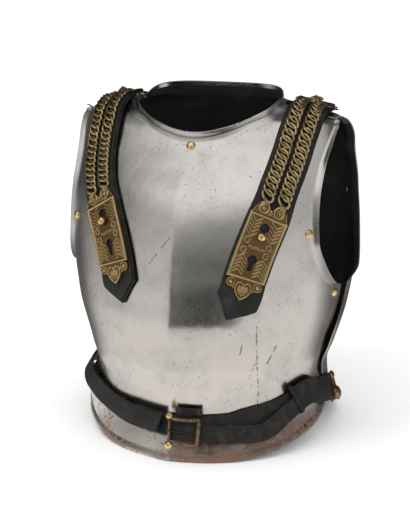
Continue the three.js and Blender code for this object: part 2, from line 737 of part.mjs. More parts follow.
function drilled(sheet, frames) {
  return frames.reduce((solid, frame) => solid.subtract(toSolid(placed(drill(), frame))), toSolid(sheet));
}

const breastSheet = plateSheet(breast, breastColumns, BREAST_THICKNESS);
const backSheet = plateSheet(back, backColumns, BACK_THICKNESS);
for (const sheet of [breastSheet, backSheet]) {
  faces.push(new THREE.Mesh(sheet, new THREE.MeshBasicMaterial({ side: THREE.DoubleSide })));
}

// Rivets and studs, with the plate each goes through.
const strapRoutes = { left: strapRoute("left"), right: strapRoute("right") };
const breastRivets = {
  neck_rivet: faceFrame(breast, 0, 357),
  arm_rivet_left: faceFrame(breast, 147.5, 264),
  arm_rivet_right: faceFrame(breast, -147.5, 264),
  side_rivet_left: faceFrame(breast, 166.5, 183),
  side_rivet_right: faceFrame(breast, -166.5, 183),
};
// Studs and end rivets stand square to their strap, seated on the steel under it.
const studFrames = { left: strapRoutes.left.route(STUD_AT), right: strapRoutes.right.route(STUD_AT) };
const backRivets = {
  back_arm_rivet_left: faceFrame(back, 150, 284),
  back_arm_rivet_right: faceFrame(back, -150, 284),
};
const endPlateAt = CHAIN_END + PLAY + END_PLATE_LENGTH - 9;
const endRivetFrames = {
  left: strapRoutes.left.route(endPlateAt),
  right: strapRoutes.right.route(endPlateAt),
};
const buckleStrap = beltRoute(BUCKLE_STRAP_ROWS);
const longStrap = beltRoute(LONG_STRAP_ROWS, LONG_STRAP_HALF);
const backing = beltRoute(BACKING_ROWS);
const beltRivetFrames = [longStrap.route(BELT_RIVET_AT), buckleStrap.route(BELT_RIVET_AT)];

const breastFrames = [...Object.values(breastRivets), ...Object.values(studFrames)];
addNode("breastplate", "steel", toGeometry(drilled(breastSheet, breastFrames)));
const backFrames = [...Object.values(backRivets), ...Object.values(endRivetFrames), ...beltRivetFrames];
addNode("backplate", "steel", toGeometry(drilled(backSheet, backFrames)));
for (const [name, frame] of Object.entries(breastRivets)) {
  addNode(name, "brass", placed(rivetGeometry(innerDepth(frame)), frame));
}
for (const [name, frame] of Object.entries(backRivets)) {
  addNode(name, "brass", placed(rivetGeometry(innerDepth(frame)), frame));
}

// Shoulder straps: lining, leather, chains in two rows, brass plate in front, end plate behind, stud.
for (const name of ["left", "right"]) {
  const { route } = strapRoutes[name];
  const end = CHAIN_END + END_PLATE_LENGTH + 2;
  const liningLow = 1.3;
  const strapLow = liningLow + LEATHER + PLAY;
  const metalLow = strapLow + LEATHER + PLAY + 0.15;
  const leatherHalf = (tip, extra) => (s) => {
    const waisted = smoothStep((s - PLATE_HEAD + 10) / 40);
    const wide = THREE.MathUtils.lerp(STRAP_TIP_WIDTH, STRAP_WIDTH, waisted) / 2 + extra;
    return Math.max(1.5, wide * Math.min(1, (s - tip) / 24 + 0.08));
  };
  const hole = drill(3.2);
  const tongueSlot = new THREE.BoxGeometry(5.6, LOW_HOLE - LOW_SLOT_END, 30);
  const leatherPiece = (start, halfAt, low) => {
    const outlineAt = (s) => boxOutline(halfAt(s), low, low + LEATHER);
    const geometry = bandGeometry(route, strapStations(start, end), outlineAt);
    return toSolid(geometry)
      .subtract(toSolid(placed(hole, route(STUD_AT))))
      .subtract(toSolid(placed(hole, route(endPlateAt))));
  };
  const point = STRAP_POINT_AT[name];
  const lining = leatherPiece(point - 3, leatherHalf(point - 3, LINING_EXTRA), liningLow);
  addNode("strap_lining_" + name, "leather", toGeometry(lining));
  const strap = leatherPiece(point, leatherHalf(point, 0), strapLow);
  const slotFrame = route((LOW_HOLE + LOW_SLOT_END) / 2);
  const slotted = strap.subtract(toSolid(placed(tongueSlot, slotFrame)));
  addNode("shoulder_strap_" + name, "leather", toGeometry(slotted));
  addNode("strap_plate_" + name, "brass", toGeometry(strapPlateSolid(route, metalLow + 0.15)));
  const chainStations = strapStations(CHAIN_START, CHAIN_END);
  for (const [row, inward] of [["inner", 1], ["outer", -1]]) {
    const sign = name === "left" ? 1 : -1;
    const middle = -sign * inward * CHAIN_OFFSET * acrossSign(route);
    const outline = ovalOutline(middle, CHAIN_WIDTH / 2, metalLow, metalLow + CHAIN_DEPTH, 8);
    addNode("chain_" + name + "_" + row, "chain", bandGeometry(route, chainStations, () => outline));
  }
  // End plate: a bent brass plate with a raised boss at its front.
  const plateStart = CHAIN_END + PLAY;
  const endStations = strapStations(plateStart, plateStart + END_PLATE_LENGTH - 2);
  const endOutline = (s) => {
    const narrowing = smoothStep((s - plateStart - 18) / 18);
    return boxOutline(PLATE_WIDTH / 2 - 9 * narrowing, metalLow, metalLow + 3);
  };
  let endPlate = toSolid(bandGeometry(route, endStations, endOutline));
  const knob = turned([[0, -1], [9, -1], [9, 2.6], [6.4, 5.6], [0, 7]], 10);
  endPlate = endPlate.add(toSolid(placed(knob, route(plateStart + 9.5), metalLow + 2)));
  endPlate = endPlate.subtract(toSolid(placed(drill(2.4, 40), endRivetFrames[name])));
  addNode("strap_end_plate_" + name, "brass", toGeometry(endPlate));
  const endFoot = -innerDepth(endRivetFrames[name]) - PLAY;
  const endRivet = turned(
    [
      [0, endFoot - 1.2],
      [3.6, endFoot - 0.8],
      [3.6, endFoot],
      [2, endFoot],
      [2, metalLow + 3 + PLAY],
      [4.6, metalLow + 3 + PLAY],
      [3.6, metalLow + 5.6],
      [0, metalLow + 6.6],
    ],
    8,
  );
  addNode("strap_end_rivet_" + name, "brass", placed(endRivet, endRivetFrames[name]));
  const studFoot = -innerDepth(studFrames[name]) - PLAY;
  const stud = turned(
    [
      [0, studFoot - 1.2],
      [3.6, studFoot - 0.8],
      [3.6, studFoot],
      [2, studFoot],
      [2, metalLow + PLATE_BASE + 1],
      [4.2, metalLow + PLATE_BASE + 2],
      [5.4, metalLow + PLATE_BASE + 5],
      [4.2, metalLow + PLATE_BASE + 8.4],
      [0, metalLow + PLATE_BASE + 10],
    ],
    10,
  );
  addNode("strap_stud_" + name, "brass", placed(stud, studFrames[name]));
}

function acrossSign(route) {
  return Math.sign(route(200).across.x);
}

// ---- the belt ----
const beltOutline = boxOutline(BELT_WIDTH / 2, 0, BELT_LEATHER);
const beltBand = (run) => bandGeometry(run.route, stationsBetween(0, run.length, 14), () => beltOutline);

// Distance along a run at which it crosses a given x on the breast.
function distanceAtX(run, x) {
  let low = run.length * 0.3;
  let high = run.length;
  for (let i = 0; i < 30; i += 1) {
    const middle = (low + high) / 2;
    if (run.route(middle).position.x > x) low = middle;
    else high = middle;
  }
  return low;
}

// The long strap is broad from the backplate to its keeper and narrow from there to the buckle.
const keeperAt = distanceAtX(longStrap, KEEPER_X);
const longStations = [
  ...stationsBetween(0, keeperAt - 0.4, 14),
  ...stationsBetween(keeperAt + 0.4, longStrap.length, 14),
];
const longOutline = (s) => {
  const over = s < keeperAt ? LONG_STRAP_OVER : LONG_STRAP_HALF;
  return [[-LONG_STRAP_HALF, 0], [over, 0], [over, BELT_LEATHER], [-LONG_STRAP_HALF, BELT_LEATHER]];
};
const longBand = bandGeometry(longStrap.route, longStations, longOutline);

// The buckle lies over the long strap: three sides of a frame and an upright bar that ends in two balls.
const buckleAt = distanceAtX(longStrap, 23);
const onStrap = longStrap.route(buckleAt);
const buckleFrame = {
  position: onStrap.position.clone(),
  across: onStrap.along.clone().negate(),
  along: onStrap.along.clone().negate().cross(onStrap.out).negate(),
  out: onStrap.out,
};
const barLevel = BELT_LEATHER + BUCKLE_LIFT + 1.4;
const outer = new THREE.Shape();
const halfWide = BUCKLE_WIDTH / 2;
const halfTall = BUCKLE_OPENING / 2 + 2.8;
outer.moveTo(-halfWide - 0.6, -halfTall);
outer.lineTo(halfWide + 2, -halfTall);
outer.lineTo(halfWide + 2, halfTall);
outer.quadraticCurveTo(0, halfTall - 2.6, -halfWide - 0.6, halfTall);
const opening = new THREE.Path();
opening.moveTo(-halfWide + 0.6, -BUCKLE_OPENING / 2);
opening.lineTo(-halfWide + 0.6, BUCKLE_OPENING / 2);
opening.quadraticCurveTo(0, BUCKLE_OPENING / 2 - 2, halfWide - 1.8, BUCKLE_OPENING / 2);
opening.lineTo(halfWide - 1.8, -BUCKLE_OPENING / 2);
outer.holes.push(opening);
const frameBody = new THREE.ExtrudeGeometry(outer, {
  depth: 1.6,
  bevelThickness: 0.6,
  bevelSize: 0.5,
  bevelOffset: -0.5,
  bevelSegments: 1,
  curveSegments: 3,
});
let buckle = toSolid(placed(frameBody, buckleFrame, barLevel - 0.8));
const pivot = new THREE.CylinderGeometry(BAR_RADIUS, BAR_RADIUS, 2 * halfTall, 8).rotateZ(BAR_LEAN);
buckle = buckle.add(toSolid(placed(pivot, buckleFrame, barLevel, -halfWide)));
for (const end of [-1, 1]) {
  const ball = new THREE.SphereGeometry(BALL_RADIUS, 8, 6).translate(0, end * (halfTall + 1), 0.6);
  buckle = buckle.add(toSolid(placed(ball.rotateZ(BAR_LEAN), buckleFrame, barLevel, -halfWide)));
}
addNode("buckle_frame", "brass", toGeometry(buckle));

// The tongue: a ring round the bar and a thin bar lying on the strap, its point down in the strap's hole.
const ring = new THREE.TorusGeometry(BAR_RADIUS + 1.15, 0.75, 6, 10).rotateX(Math.PI / 2);
let tongue = toSolid(placed(ring, buckleFrame, barLevel, -halfWide));
const tongueRoute = (s) => {
  const drop = smoothStep((s - TONGUE_REACH + 5) / 5);
  const position = buckleFrame.position
    .clone()
    .addScaledVector(buckleFrame.across, s - halfWide)
    .addScaledVector(buckleFrame.out, BELT_LEATHER + 1.4 - 1.6 * drop + 1.6 * smoothStep(1 - s / 9));
  return { position, along: buckleFrame.across, across: buckleFrame.along, out: buckleFrame.out };
};
const tongueStations = [2.6, 5, 9, 14, 19.5, 22, TONGUE_REACH];
const tongueBar = bandGeometry(tongueRoute, tongueStations, () => boxOutline(1.1, -0.5, 0.9));
tongue = tongue.add(toSolid(tongueBar));
addNode("buckle_tongue", "copper", toGeometry(tongue));

// The tongue's point is in a hole of the long strap.
const tongueHole = placed(drill(2.6, 12), longStrap.route(buckleAt + halfWide - TONGUE_REACH + 1.2));
const endHole = (run) => toSolid(placed(drill(2.4, 16), run.route(BELT_RIVET_AT)));
const longLeather = toSolid(longBand).subtract(toSolid(tongueHole)).subtract(endHole(longStrap));
addNode("belt_strap_left", "leather", toGeometry(longLeather));
const buckleLeather = toSolid(beltBand(buckleStrap)).subtract(endHole(buckleStrap));
addNode("belt_strap_right", "leather", toGeometry(buckleLeather));
addNode("belt_backing", "leather", beltBand(backing));

// A loop that keeps the long strap on its backing, and a tab stitched over the backing's upper edge.
const keeperFrame = longStrap.route(keeperAt);
const keeperShape = new THREE.Shape();
const keeperTop = BELT_LEATHER + PLAY;
const keeperFoot = -BELT_LEATHER - 1;
const keeperUnder = -LONG_STRAP_HALF - 0.5;
const keeperOver = LONG_STRAP_OVER + 2.6;
keeperShape.moveTo(keeperUnder - 1.4, keeperFoot);
keeperShape.lineTo(keeperUnder - 1.4, keeperTop + 0.8);
keeperShape.lineTo(keeperUnder, keeperTop + 1.6);
keeperShape.lineTo(keeperOver, keeperTop + 1.6);
keeperShape.lineTo(keeperOver + 1.4, keeperTop + 0.8);
keeperShape.lineTo(keeperOver + 1.4, 0);
keeperShape.lineTo(keeperOver, 0);
keeperShape.lineTo(keeperOver, keeperTop);
keeperShape.lineTo(keeperUnder, keeperTop);
keeperShape.lineTo(keeperUnder, keeperFoot);
const keeperBody = new THREE.ExtrudeGeometry(keeperShape, { depth: KEEPER_WIDTH, bevelEnabled: false });
keeperBody.translate(0, 0, -KEEPER_WIDTH / 2).rotateX(Math.PI / 2);
addNode("belt_keeper", "leather", placed(keeperBody, keeperFrame));

const tabRows = [
  { turn: TAB_TURN - 5.2, z: TAB_Z, lift: 3.4 },
  { turn: TAB_TURN, z: TAB_Z, lift: 3.4 },
  { turn: TAB_TURN + 5.2, z: TAB_Z, lift: 3.4 },
];
const tab = beltRoute(tabRows);
const tabOutline = boxOutline(TAB_HEIGHT / 2, 0, 1.6);
addNode("belt_tab", "leather", bandGeometry(tab.route, stationsBetween(0, tab.length, 10), () => tabOutline));

// Lobed plates riveted over the belt's ends on the backplate.
for (const [name, run] of [["left", longStrap], ["right", buckleStrap]]) {
  const frame = run.route(BELT_RIVET_AT);
  const upward = Math.sign(frame.across.z);
  const { large: largeAt, small: smallAt } = BELT_LOBES[name];
  const bodyAt = (upward * (largeAt + smallAt)) / 2;
  const body = new THREE.BoxGeometry(smallAt - largeAt + 4, 11, 1.6).translate(bodyAt, 0, 0.8);
  const seat = BELT_LEATHER + 3.5 * PLAY;
  let lobed = toSolid(placed(body, frame, seat));
  const large = turned([[0, 0], [9.5, 0], [8.6, 3.4], [4.6, 5.6], [0, 6.2]], 9);
  lobed = lobed.add(toSolid(placed(large, frame, seat, upward * largeAt)));
  const small = turned([[0, 0], [5.4, 0], [4.4, 3], [0, 3.8]], 8);
  lobed = lobed.add(toSolid(placed(small, frame, seat, upward * smallAt)));
  const foot = -innerDepth(frame) - PLAY;
  const pinTop = BELT_LEATHER + 2;
  const pin = turned([[0, foot - 1.2], [3.6, foot - 1.2], [3.6, foot], [2, foot], [2, pinTop], [0, pinTop]], 8);
  addNode("belt_plate_" + name, "copper", toGeometry(lobed.add(toSolid(placed(pin, frame)))));
}

// The whole assembly is centred over its foot.
const box = new THREE.Box3().setFromObject(group);
const centre = box.getCenter(new THREE.Vector3());
for (const mesh of group.children) {
  mesh.geometry.translate(-centre.x, -centre.y, -box.min.z);
}

export default group;
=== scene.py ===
"""A cuirass: steel breastplate and backplate, chain-covered shoulder straps and a buckled waist belt.

Laid out as a Blender add-on and run as a script. Shapes are worked out in millimetres, with the breast
facing -Y and +X on the wearer's left, and put into the frame in metres.
"""

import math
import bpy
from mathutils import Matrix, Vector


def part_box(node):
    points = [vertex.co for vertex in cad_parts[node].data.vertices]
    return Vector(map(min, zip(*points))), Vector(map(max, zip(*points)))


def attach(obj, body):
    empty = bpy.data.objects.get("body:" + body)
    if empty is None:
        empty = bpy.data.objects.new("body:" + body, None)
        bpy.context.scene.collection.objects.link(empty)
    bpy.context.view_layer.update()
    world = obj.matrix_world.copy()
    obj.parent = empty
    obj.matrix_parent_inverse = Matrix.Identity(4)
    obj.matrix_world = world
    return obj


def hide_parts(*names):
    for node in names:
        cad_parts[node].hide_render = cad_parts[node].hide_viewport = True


bl_info = {
    "name": "Cuirass",
    "version": (1, 0, 0),
    "blender": (4, 5, 0),
    "location": "View3D > Sidebar > Cuirass",
    "description": "Builds a cavalry cuirass on its packed frame, and the studio round it",
    "category": "Add Mesh",
}

import bpy
import numpy as np
from bpy.props import FloatProperty, FloatVectorProperty, PointerProperty
from mathutils import Vector, noise
from mathutils.bvhtree import BVHTree
from mathutils.geometry import delaunay_2d_cdt

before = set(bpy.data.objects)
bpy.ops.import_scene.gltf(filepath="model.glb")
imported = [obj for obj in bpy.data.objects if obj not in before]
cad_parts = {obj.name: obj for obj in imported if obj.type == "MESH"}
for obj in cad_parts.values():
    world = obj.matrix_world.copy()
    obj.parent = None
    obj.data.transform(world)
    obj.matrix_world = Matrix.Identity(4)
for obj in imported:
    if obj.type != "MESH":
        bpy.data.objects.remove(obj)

# ---- driving dimensions, in millimetres ----
BREAST_THICKNESS = 2.8
BACK_THICKNESS = 1.6
SEAM_GAP = 1.5  # from the seam plane to each plate's edge
NECK_HALF_WIDTH = 88
NECK_CORNER_Z = 403
NECK_CORNER_U = 0.5454  # of the way round from the middle of a plate to its side edge
COLLAR_RISE = 16.5
ARM_LOW = 186
LIP_HEIGHT = 6
COLLAR_LIP = 10
GROOVE_AT = 6.8  # from the edge of a plate to the middle of the groove inside its rim
GROOVE_DEPTH = 0.7
SWELL_AT = 2.6  # from the edge of a plate to the crown of its rounded rim
SWELL_HEIGHT = 0.4
# Share of a plate's height from which its inner face is polished too, at the neck and at the arms.
NECK_POLISHED_ABOVE = 0.986
ARM_POLISHED_ABOVE = 0.972
SHOULDER_LIP = 8.5
LIP_WIDTH = 13
RIM_WIDTH = 6
RIM_HEIGHT = 1
LEATHER = 2
PLAY = 0.35
SHANK_RADIUS = 2
BURR_RADIUS = 3.6
STRAP_WIDTH = 43
STRAP_TIP_WIDTH = 47
STRAP_POINT_LENGTH = 24
LINING_EXTRA = 1.6
PLATE_WIDTH = 45
PLATE_BASE = 2.2
CHAIN_WIDTH = 17
CHAIN_OFFSET = 9.8
BELT_WIDTH = 24
LONG_STRAP_HALF = 10.3
LONG_STRAP_OVER = 20.7
BELT_LEATHER = 2.2
BELT_RIVET_AT = 13
BUCKLE_WIDTH = 33.5
BUCKLE_OPENING = 26.8
BUCKLE_X = 23
BAR_RADIUS = 1.6
BALL_RADIUS = 4.6
BAR_LEAN = 0.09
BUCKLE_LIFT = 2.4
TONGUE_REACH = 24.5
KEEPER_X = 137
KEEPER_WIDTH = 6.5
TAB_TURN = 8.5
TAB_Z = 54
TAB_HEIGHT = 10
TAB_LEATHER = 1.6
LINING_LOW = 1.3
STRAP_LOW = LINING_LOW + LEATHER + PLAY
METAL_LOW = STRAP_LOW + LEATHER + PLAY + 0.15

# Level sections of the plates: height, depth of the middle, half width, angle of the side edge.
BREAST_ROWS = [
    (0, 174, 167, 90), (20, 160, 161, 90), (48, 134, 155, 90), (75, 136, 142, 90),
    (110, 144, 149, 90), (160, 147, 164, 90), (186, 143, 169, 89), (200, 140, 171, 76),
    (225, 132, 172.5, 67), (255, 122, 173, 61.5), (300, 102, 174, 60), (335, 76, 171, 63),
    (358, 59, 166, 70), (373, 50, 161, 79), (384, 39, 157, 90), (394, 25, 123, 115),
    (403, 10, 88, 165),
]
BACK_ROWS = [
    (0, 108, 160, 90), (20, 103, 155, 90), (48, 100, 152, 90), (78, 96, 146.5, 90),
    (105, 103, 155, 90), (150, 118, 168, 90), (186, 130, 174, 89), (200, 134, 176, 76),
    (225, 141, 178, 68), (255, 147, 178.5, 64), (300, 148, 176.5, 62), (340, 134, 171.5, 64),
    (362, 116, 167, 72), (375, 103, 163, 79), (386, 90, 159, 90), (395, 79, 124, 115),
    (403, 70, 88, 165), (420, 59, 88, 165),
]
# Side seams: height, how far they lie behind the middle, how far the flange leans to the wearer's left.
SEAM_ROWS = [
    (0, 24, 6), (20, 21, 5), (48, 10, -3), (78, 10, 0), (170, 10, 0), (290, 0, 0), (420, 0, 0),
]
# Middle line of the shoulder straps: height, distance from the keel line on the left and on the right.
STRAP_ROWS = [
    (174, 70, 56), (197, 81, 62), (220, 86.5, 68), (252, 95.5, 79),
    (287, 106.5, 96.5), (318, 113, 111), (346, 118.5, 118), (372, 122.5, 118.5),
]
STRAP_FOOT_RISE = {"left": 0, "right": 4}
STRAP_POINT_AT = {"left": 0, "right": 4}
STRAP_CREST_X = {"left": 124.5, "right": 120}
STRAP_BACK_ROWS = [(387, 123.5, 119), (376, 121.5, 117), (355, 118.5, 115)]
# Along a strap, from the point of its leather, and out from its middle line on the front plate.
PLATE_TIP = 23.5
PLATE_FOOT = 48
PLATE_HEAD = 122
PLATE_TOP = 137
LOW_HOLE = 72
LOW_SLOT_END = 58.5
HIGH_HOLE = 109
STUD_AT = 99
KEYHOLE_RADIUS = 5.1
KEYHOLE_SLOT_HALF = 2.7
VOLUTE_AT = (9.6, PLATE_HEAD + 7.6)
TIP_SCROLL_AT = (15.6, PLATE_FOOT - 5.6)
LEAF_OUT = 12.2
LEAF_PITCH = 4.3
FAR = 9.0  # a distance out of reach of any line of the ornament
CHAIN_START = 139
CHAIN_END = 287
END_PLATE_LENGTH = 38
END_RIVET_AT = CHAIN_END + PLAY + END_PLATE_LENGTH - 9
# The belt's runs: turn round the body in degrees, height, lift of the leather, reach over the middle line.
BUCKLE_STRAP_ROWS = [
    (-118, 50, 1.5, 12), (-100, 52, 4.5, 12), (-82, 56.5, 5, 12), (-64, 58.5, 4.5, 12),
    (-44, 54.5, 3.4, 12), (-27, 46.5, 4.4, 12), (-12, 39, 8.4, 12), (-1, 36, 8.8, 12),
]
LONG_STRAP_ROWS = [
    (100, 36, 0.8, 20.7), (93, 41, 0.9, 20.7), (83, 48, 2.6, 20.7), (70, 56.5, 4.4, 20.7),
    (52, 44, 5.6, 10.3), (38, 28.5, 7, 10.3), (26, 27.5, 7.4, 10.3), (14, 27.5, 7.8, 10.3),
    (0.3, 28.5, 7.8, 10.3),
]
BACKING_ROWS = [
    (73, 62, 0.8, 12), (62, 58, 0.8, 12), (48, 51, 0.7, 12), (34, 44.5, 0.8, 12),
    (26, 39, 0.8, 12), (16, 37, 0.8, 12), (2, 36, 0.8, 12), (-14, 39, 0.8, 12),
]
BELT_LOBES = {"left": (-6, 17), "right": (-6, 12)}
# Scratches in the front of the breastplate: ends across and up, width, how far they are broken up.
SCRATCHES = [
    ((100, 161), (97, 62), 0.9, 0.42), ((99.7, 123), (89.6, 95), 0.8, 0.44),
    ((117.5, 133), (108, 112), 1.1, 0.34), ((84.6, 139), (82, 127), 0.9, 0.3),
    ((1, 263), (-27, 227), 0.7, 0.43),
]

# Where the frame puts the line from shoulder seam to shoulder seam.
KEEL_RISE = 9
KEEL_FOOT_Y = -(SEAM_GAP + BREAST_ROWS[0][1] + KEEL_RISE + RIM_HEIGHT) + SEAM_ROWS[0][1]
FRAME_SHIFT = np.array([0.0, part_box("breastplate")[0].y * 1000 - KEEL_FOOT_Y, 0.0])


# ---- numbers and curves ----
def smooth_step(t):
    s = np.clip(t, 0, 1)
    return s * s * (3 - 2 * s)


def column_curve(rows, column):
    """A smooth curve through one column of a table that never swings past its rows."""
    z = np.array([row[0] for row in rows], float)
    value = np.array([row[column] for row in rows], float)
    step = np.diff(z)
    rise = np.diff(value) / step
    slope = np.zeros_like(z)
    slope[0], slope[-1] = rise[0], rise[-1]
    for i in range(1, len(z) - 1):
        if rise[i - 1] * rise[i] > 0:
            near = 2 * step[i] + step[i - 1]
            far = step[i] + 2 * step[i - 1]
            slope[i] = (near + far) / (near / rise[i - 1] + far / rise[i])

    def curve(height):
        at = np.clip(height, z[0], z[-1])
        i = np.clip(np.searchsorted(z, at, side="right") - 1, 0, len(step) - 1)
        t = (at - z[i]) / step[i]
        start = value[i] * (1 + 2 * t) * (1 - t) ** 2 + step[i] * slope[i] * t * (1 - t) ** 2
        end = value[i + 1] * t * t * (3 - 2 * t) + step[i] * slope[i + 1] * t * t * (t - 1)
        return start + end

    return curve


def unit(v):
    return v / np.maximum(np.linalg.norm(v, axis=-1, keepdims=True), 1e-9)


seam_shift = column_curve(SEAM_ROWS, 1)
flange_lean = column_curve(SEAM_ROWS, 2)


class PlateShape:
    """The outer face of one steel plate."""

    def __init__(self, rows, side, exponent, keel, neck_depth, foot_rise, collar_rise):
        self.side = side
        self.exponent = exponent
        self.keel = keel
        self.neck_depth = neck_depth
        self.foot_rise = foot_rise
        self.collar_rise = collar_rise
        self.neck_lip = LIP_HEIGHT if side < 0 else COLLAR_LIP
        self.shoulder_lip = LIP_HEIGHT if side < 0 else SHOULDER_LIP
        self.depth = column_curve(rows, 1)
        self.width = column_curve(rows, 2)
        self.edge = column_curve(rows, 3)

    def section(self, degrees, z):
        angle = np.radians(degrees)
        power = 2 / self.exponent
        width = self.width(z)
        x = width * np.sign(np.sin(angle)) * np.abs(np.sin(angle)) ** power
        reach = self.depth(z) * np.clip(np.cos(angle), 0, None) ** power
        ridge = self.keel * smooth_step((380 - z) / 140) * (1 - np.abs(x) / width) ** 3
        y = self.side * (SEAM_GAP + reach + ridge) + seam_shift(z)
        return np.stack(np.broadcast_arrays(x + flange_lean(z), y, z), axis=-1).astype(float)

    def face(self, x, z):
        share = np.minimum(1, np.abs(x) / self.width(z))
        return self.section(np.sign(x) * np.degrees(np.arcsin(share ** (self.exponent / 2))), z)

    def face_normal(self, x, z, reach=9):
        limit = self.width(z) * 0.995
        across = self.face(min(x + reach, limit), z) - self.face(max(x - reach, -limit), z)
        up = self.face(x, z + reach) - self.face(x, z - reach)
        return unit(np.cross(across, up)) * -self.side

    def top(self, u):
        low = np.full_like(u, 300.0)
        high = NECK_CORNER_Z + self.collar_rise * np.clip(1 - (u / NECK_CORNER_U) ** 4, 0, None)
        for _ in range(40):
            z = (low + high) / 2
            degrees = np.abs(u) * self.edge(z)
            p = self.section(np.minimum(degrees, 90), z)
            oval = (p[..., 0] / NECK_HALF_WIDTH) ** 2 + (p[..., 1] / self.neck_depth) ** 2
            over = (degrees > 90) | (oval < 1)
            high = np.where(over, z, high)
            low = np.where(over, low, z)
        return (low + high) / 2

    def foot(self, u):
        return self.foot_rise * np.clip((np.abs(u) - 0.12) / 0.88, 0, None) ** 1.8

    def plain(self, u, v):
        foot = self.foot(u)
        z = foot + (self.top(u) - foot) * v
        return self.section(np.clip(u * self.edge(z), -90, 90), z)

    def normal(self, u, v):
        e = 1e-3
        across = self.plain(np.minimum(u + e, 1), v) - self.plain(np.maximum(u - e, -1), v)
        up = self.plain(u, np.minimum(v + e, 1)) - self.plain(u, np.maximum(v - e, 0))
        normal = unit(np.cross(across, up)) * -self.side
        level = unit(normal * [1, 1, 0])
        return np.where((v == 0)[..., None], level, normal)

    def relief(self, u, v):
        """Turned lips at the arms and the neck, a raised rim along the foot, a step along the sides."""
        p = self.plain(u, v)
        top = self.plain(u, np.ones_like(v))
        from_arm = (1 - np.abs(u)) * np.radians(self.edge(p[..., 2])) * 165
        at_arm = smooth_step((p[..., 2] - ARM_LOW) / 14)
        arm = at_arm * np.clip(1 - from_arm / LIP_WIDTH, 0, None) ** 2
        oval = (top[..., 0] / NECK_HALF_WIDTH) ** 2 + (top[..., 1] / self.neck_depth) ** 2
        at_neck = (np.abs(u) < NECK_CORNER_U + 1e-4) & (np.abs(oval - 1) < 0.02)
        from_neck = top[..., 2] - p[..., 2]
        neck = np.where(at_neck, np.clip(1 - from_neck / (LIP_WIDTH * 0.8), 0, None) ** 2, 0)
        from_foot = p[..., 2] - self.foot(u)
        rim = smooth_step((RIM_WIDTH + 2 - from_foot) / 2)
        share = smooth_step((p[..., 2] - 330) / 45)
        arm_lip = LIP_HEIGHT + (self.shoulder_lip - LIP_HEIGHT) * share
        return np.maximum(arm_lip * arm, self.neck_lip * neck) + RIM_HEIGHT * rim

    def point(self, u, v):
        return self.plain(u, v) + self.normal(u, v) * self.relief(u, v)[..., None]


breast = PlateShape(BREAST_ROWS, -1, 2.2, KEEL_RISE, 54, 44, 0)
back = PlateShape(BACK_ROWS, 1, 2.8, 0, 60, 27, COLLAR_RISE)


# ---- routes ----
class Route:
    """A smooth line through points, with a frame at each distance along it."""

    def __init__(self, points, outwards):
        points = np.asarray(points, float)
        outwards = np.asarray(outwards, float)
        samples = 1200
        place = np.linspace(0, len(points) - 1, samples)
        i = np.minimum(place.astype(int), len(points) - 2)
        w = (place - i)[:, None]
        before = np.vstack([2 * points[0] - points[1], points, 2 * points[-1] - points[-2]])
        p0, p1, p2, p3 = before[i], before[i + 1], before[i + 2], before[i + 3]
        d0 = np.sqrt(np.linalg.norm(p1 - p0, axis=1))[:, None]
        d1 = np.sqrt(np.linalg.norm(p2 - p1, axis=1))[:, None]
        d2 = np.sqrt(np.linalg.norm(p3 - p2, axis=1))[:, None]
        t1 = ((p1 - p0) / d0 - (p2 - p0) / (d0 + d1) + (p2 - p1) / d1) * d1
        t2 = ((p2 - p1) / d1 - (p3 - p1) / (d1 + d2) + (p3 - p2) / d2) * d1
        c2 = -3 * p1 + 3 * p2 - 2 * t1 - t2
        c3 = 2 * p1 - 2 * p2 + t1 + t2
        self.line = p1 + t1 * w + c2 * w**2 + c3 * w**3
        self.along = unit(np.gradient(self.line, axis=0))
        out = outwards[i] + (outwards[i + 1] - outwards[i]) * smooth_step(w)
        out -= self.along * np.sum(out * self.along, axis=1, keepdims=True)
        self.out = unit(out)
        gaps = np.linalg.norm(np.diff(self.line, axis=0), axis=1)
        self.distance = np.concatenate([[0], np.cumsum(gaps)])
        self.length = self.distance[-1]

    def frames(self, s):
        """Position, across, along and out at each distance."""
        s = np.atleast_1d(np.asarray(s, float))
        held = np.clip(s, 0, self.length)
        pick = lambda table: np.stack([np.interp(held, self.distance, table[:, k]) for k in range(3)], -1)
        along = unit(pick(self.along))
        out = pick(self.out)
        out = unit(out - along * np.sum(out * along, axis=1, keepdims=True))
        position = pick(self.line) + along * (s - held)[:, None]
        return position, np.cross(along, out), along, out

    def place(self, s, across, height):
        """Points given by distance along, across and above the route."""
        s, across, height = np.broadcast_arrays(s, across, height)
        position, side, _, out = self.frames(s.ravel())
        return position + side * across.reshape(-1, 1) + out * height.reshape(-1, 1)


class Workshop:
    """What one operator leaves for the next: the steel, and the routes laid over it."""

    steel = None
    straps = {}
    belts = {}
    materials = {}


def face_height(origin, out):
    start = Vector(origin + out * 40)
    hit = Workshop.steel.ray_cast(start, Vector(-out), 70)
    return 40 - hit[3] if hit[0] is not None else -30.0


def inner_depth(route, s):
    """How deep the inside of the steel lies below a point of a route."""
    position, across, along, out = (part[0] for part in route.frames(s))
    deepest = 0.0
    for k in range(9):
        radius = 0 if k == 8 else 3.8
        probe = position + across * radius * math.cos(k * math.pi / 4)
        probe = probe + along * radius * math.sin(k * math.pi / 4)
        hit = Workshop.steel.ray_cast(Vector(probe - out * 40), Vector(out), 60)
        if hit[0] is not None:
            deepest = max(deepest, 40 - hit[3])
    return deepest


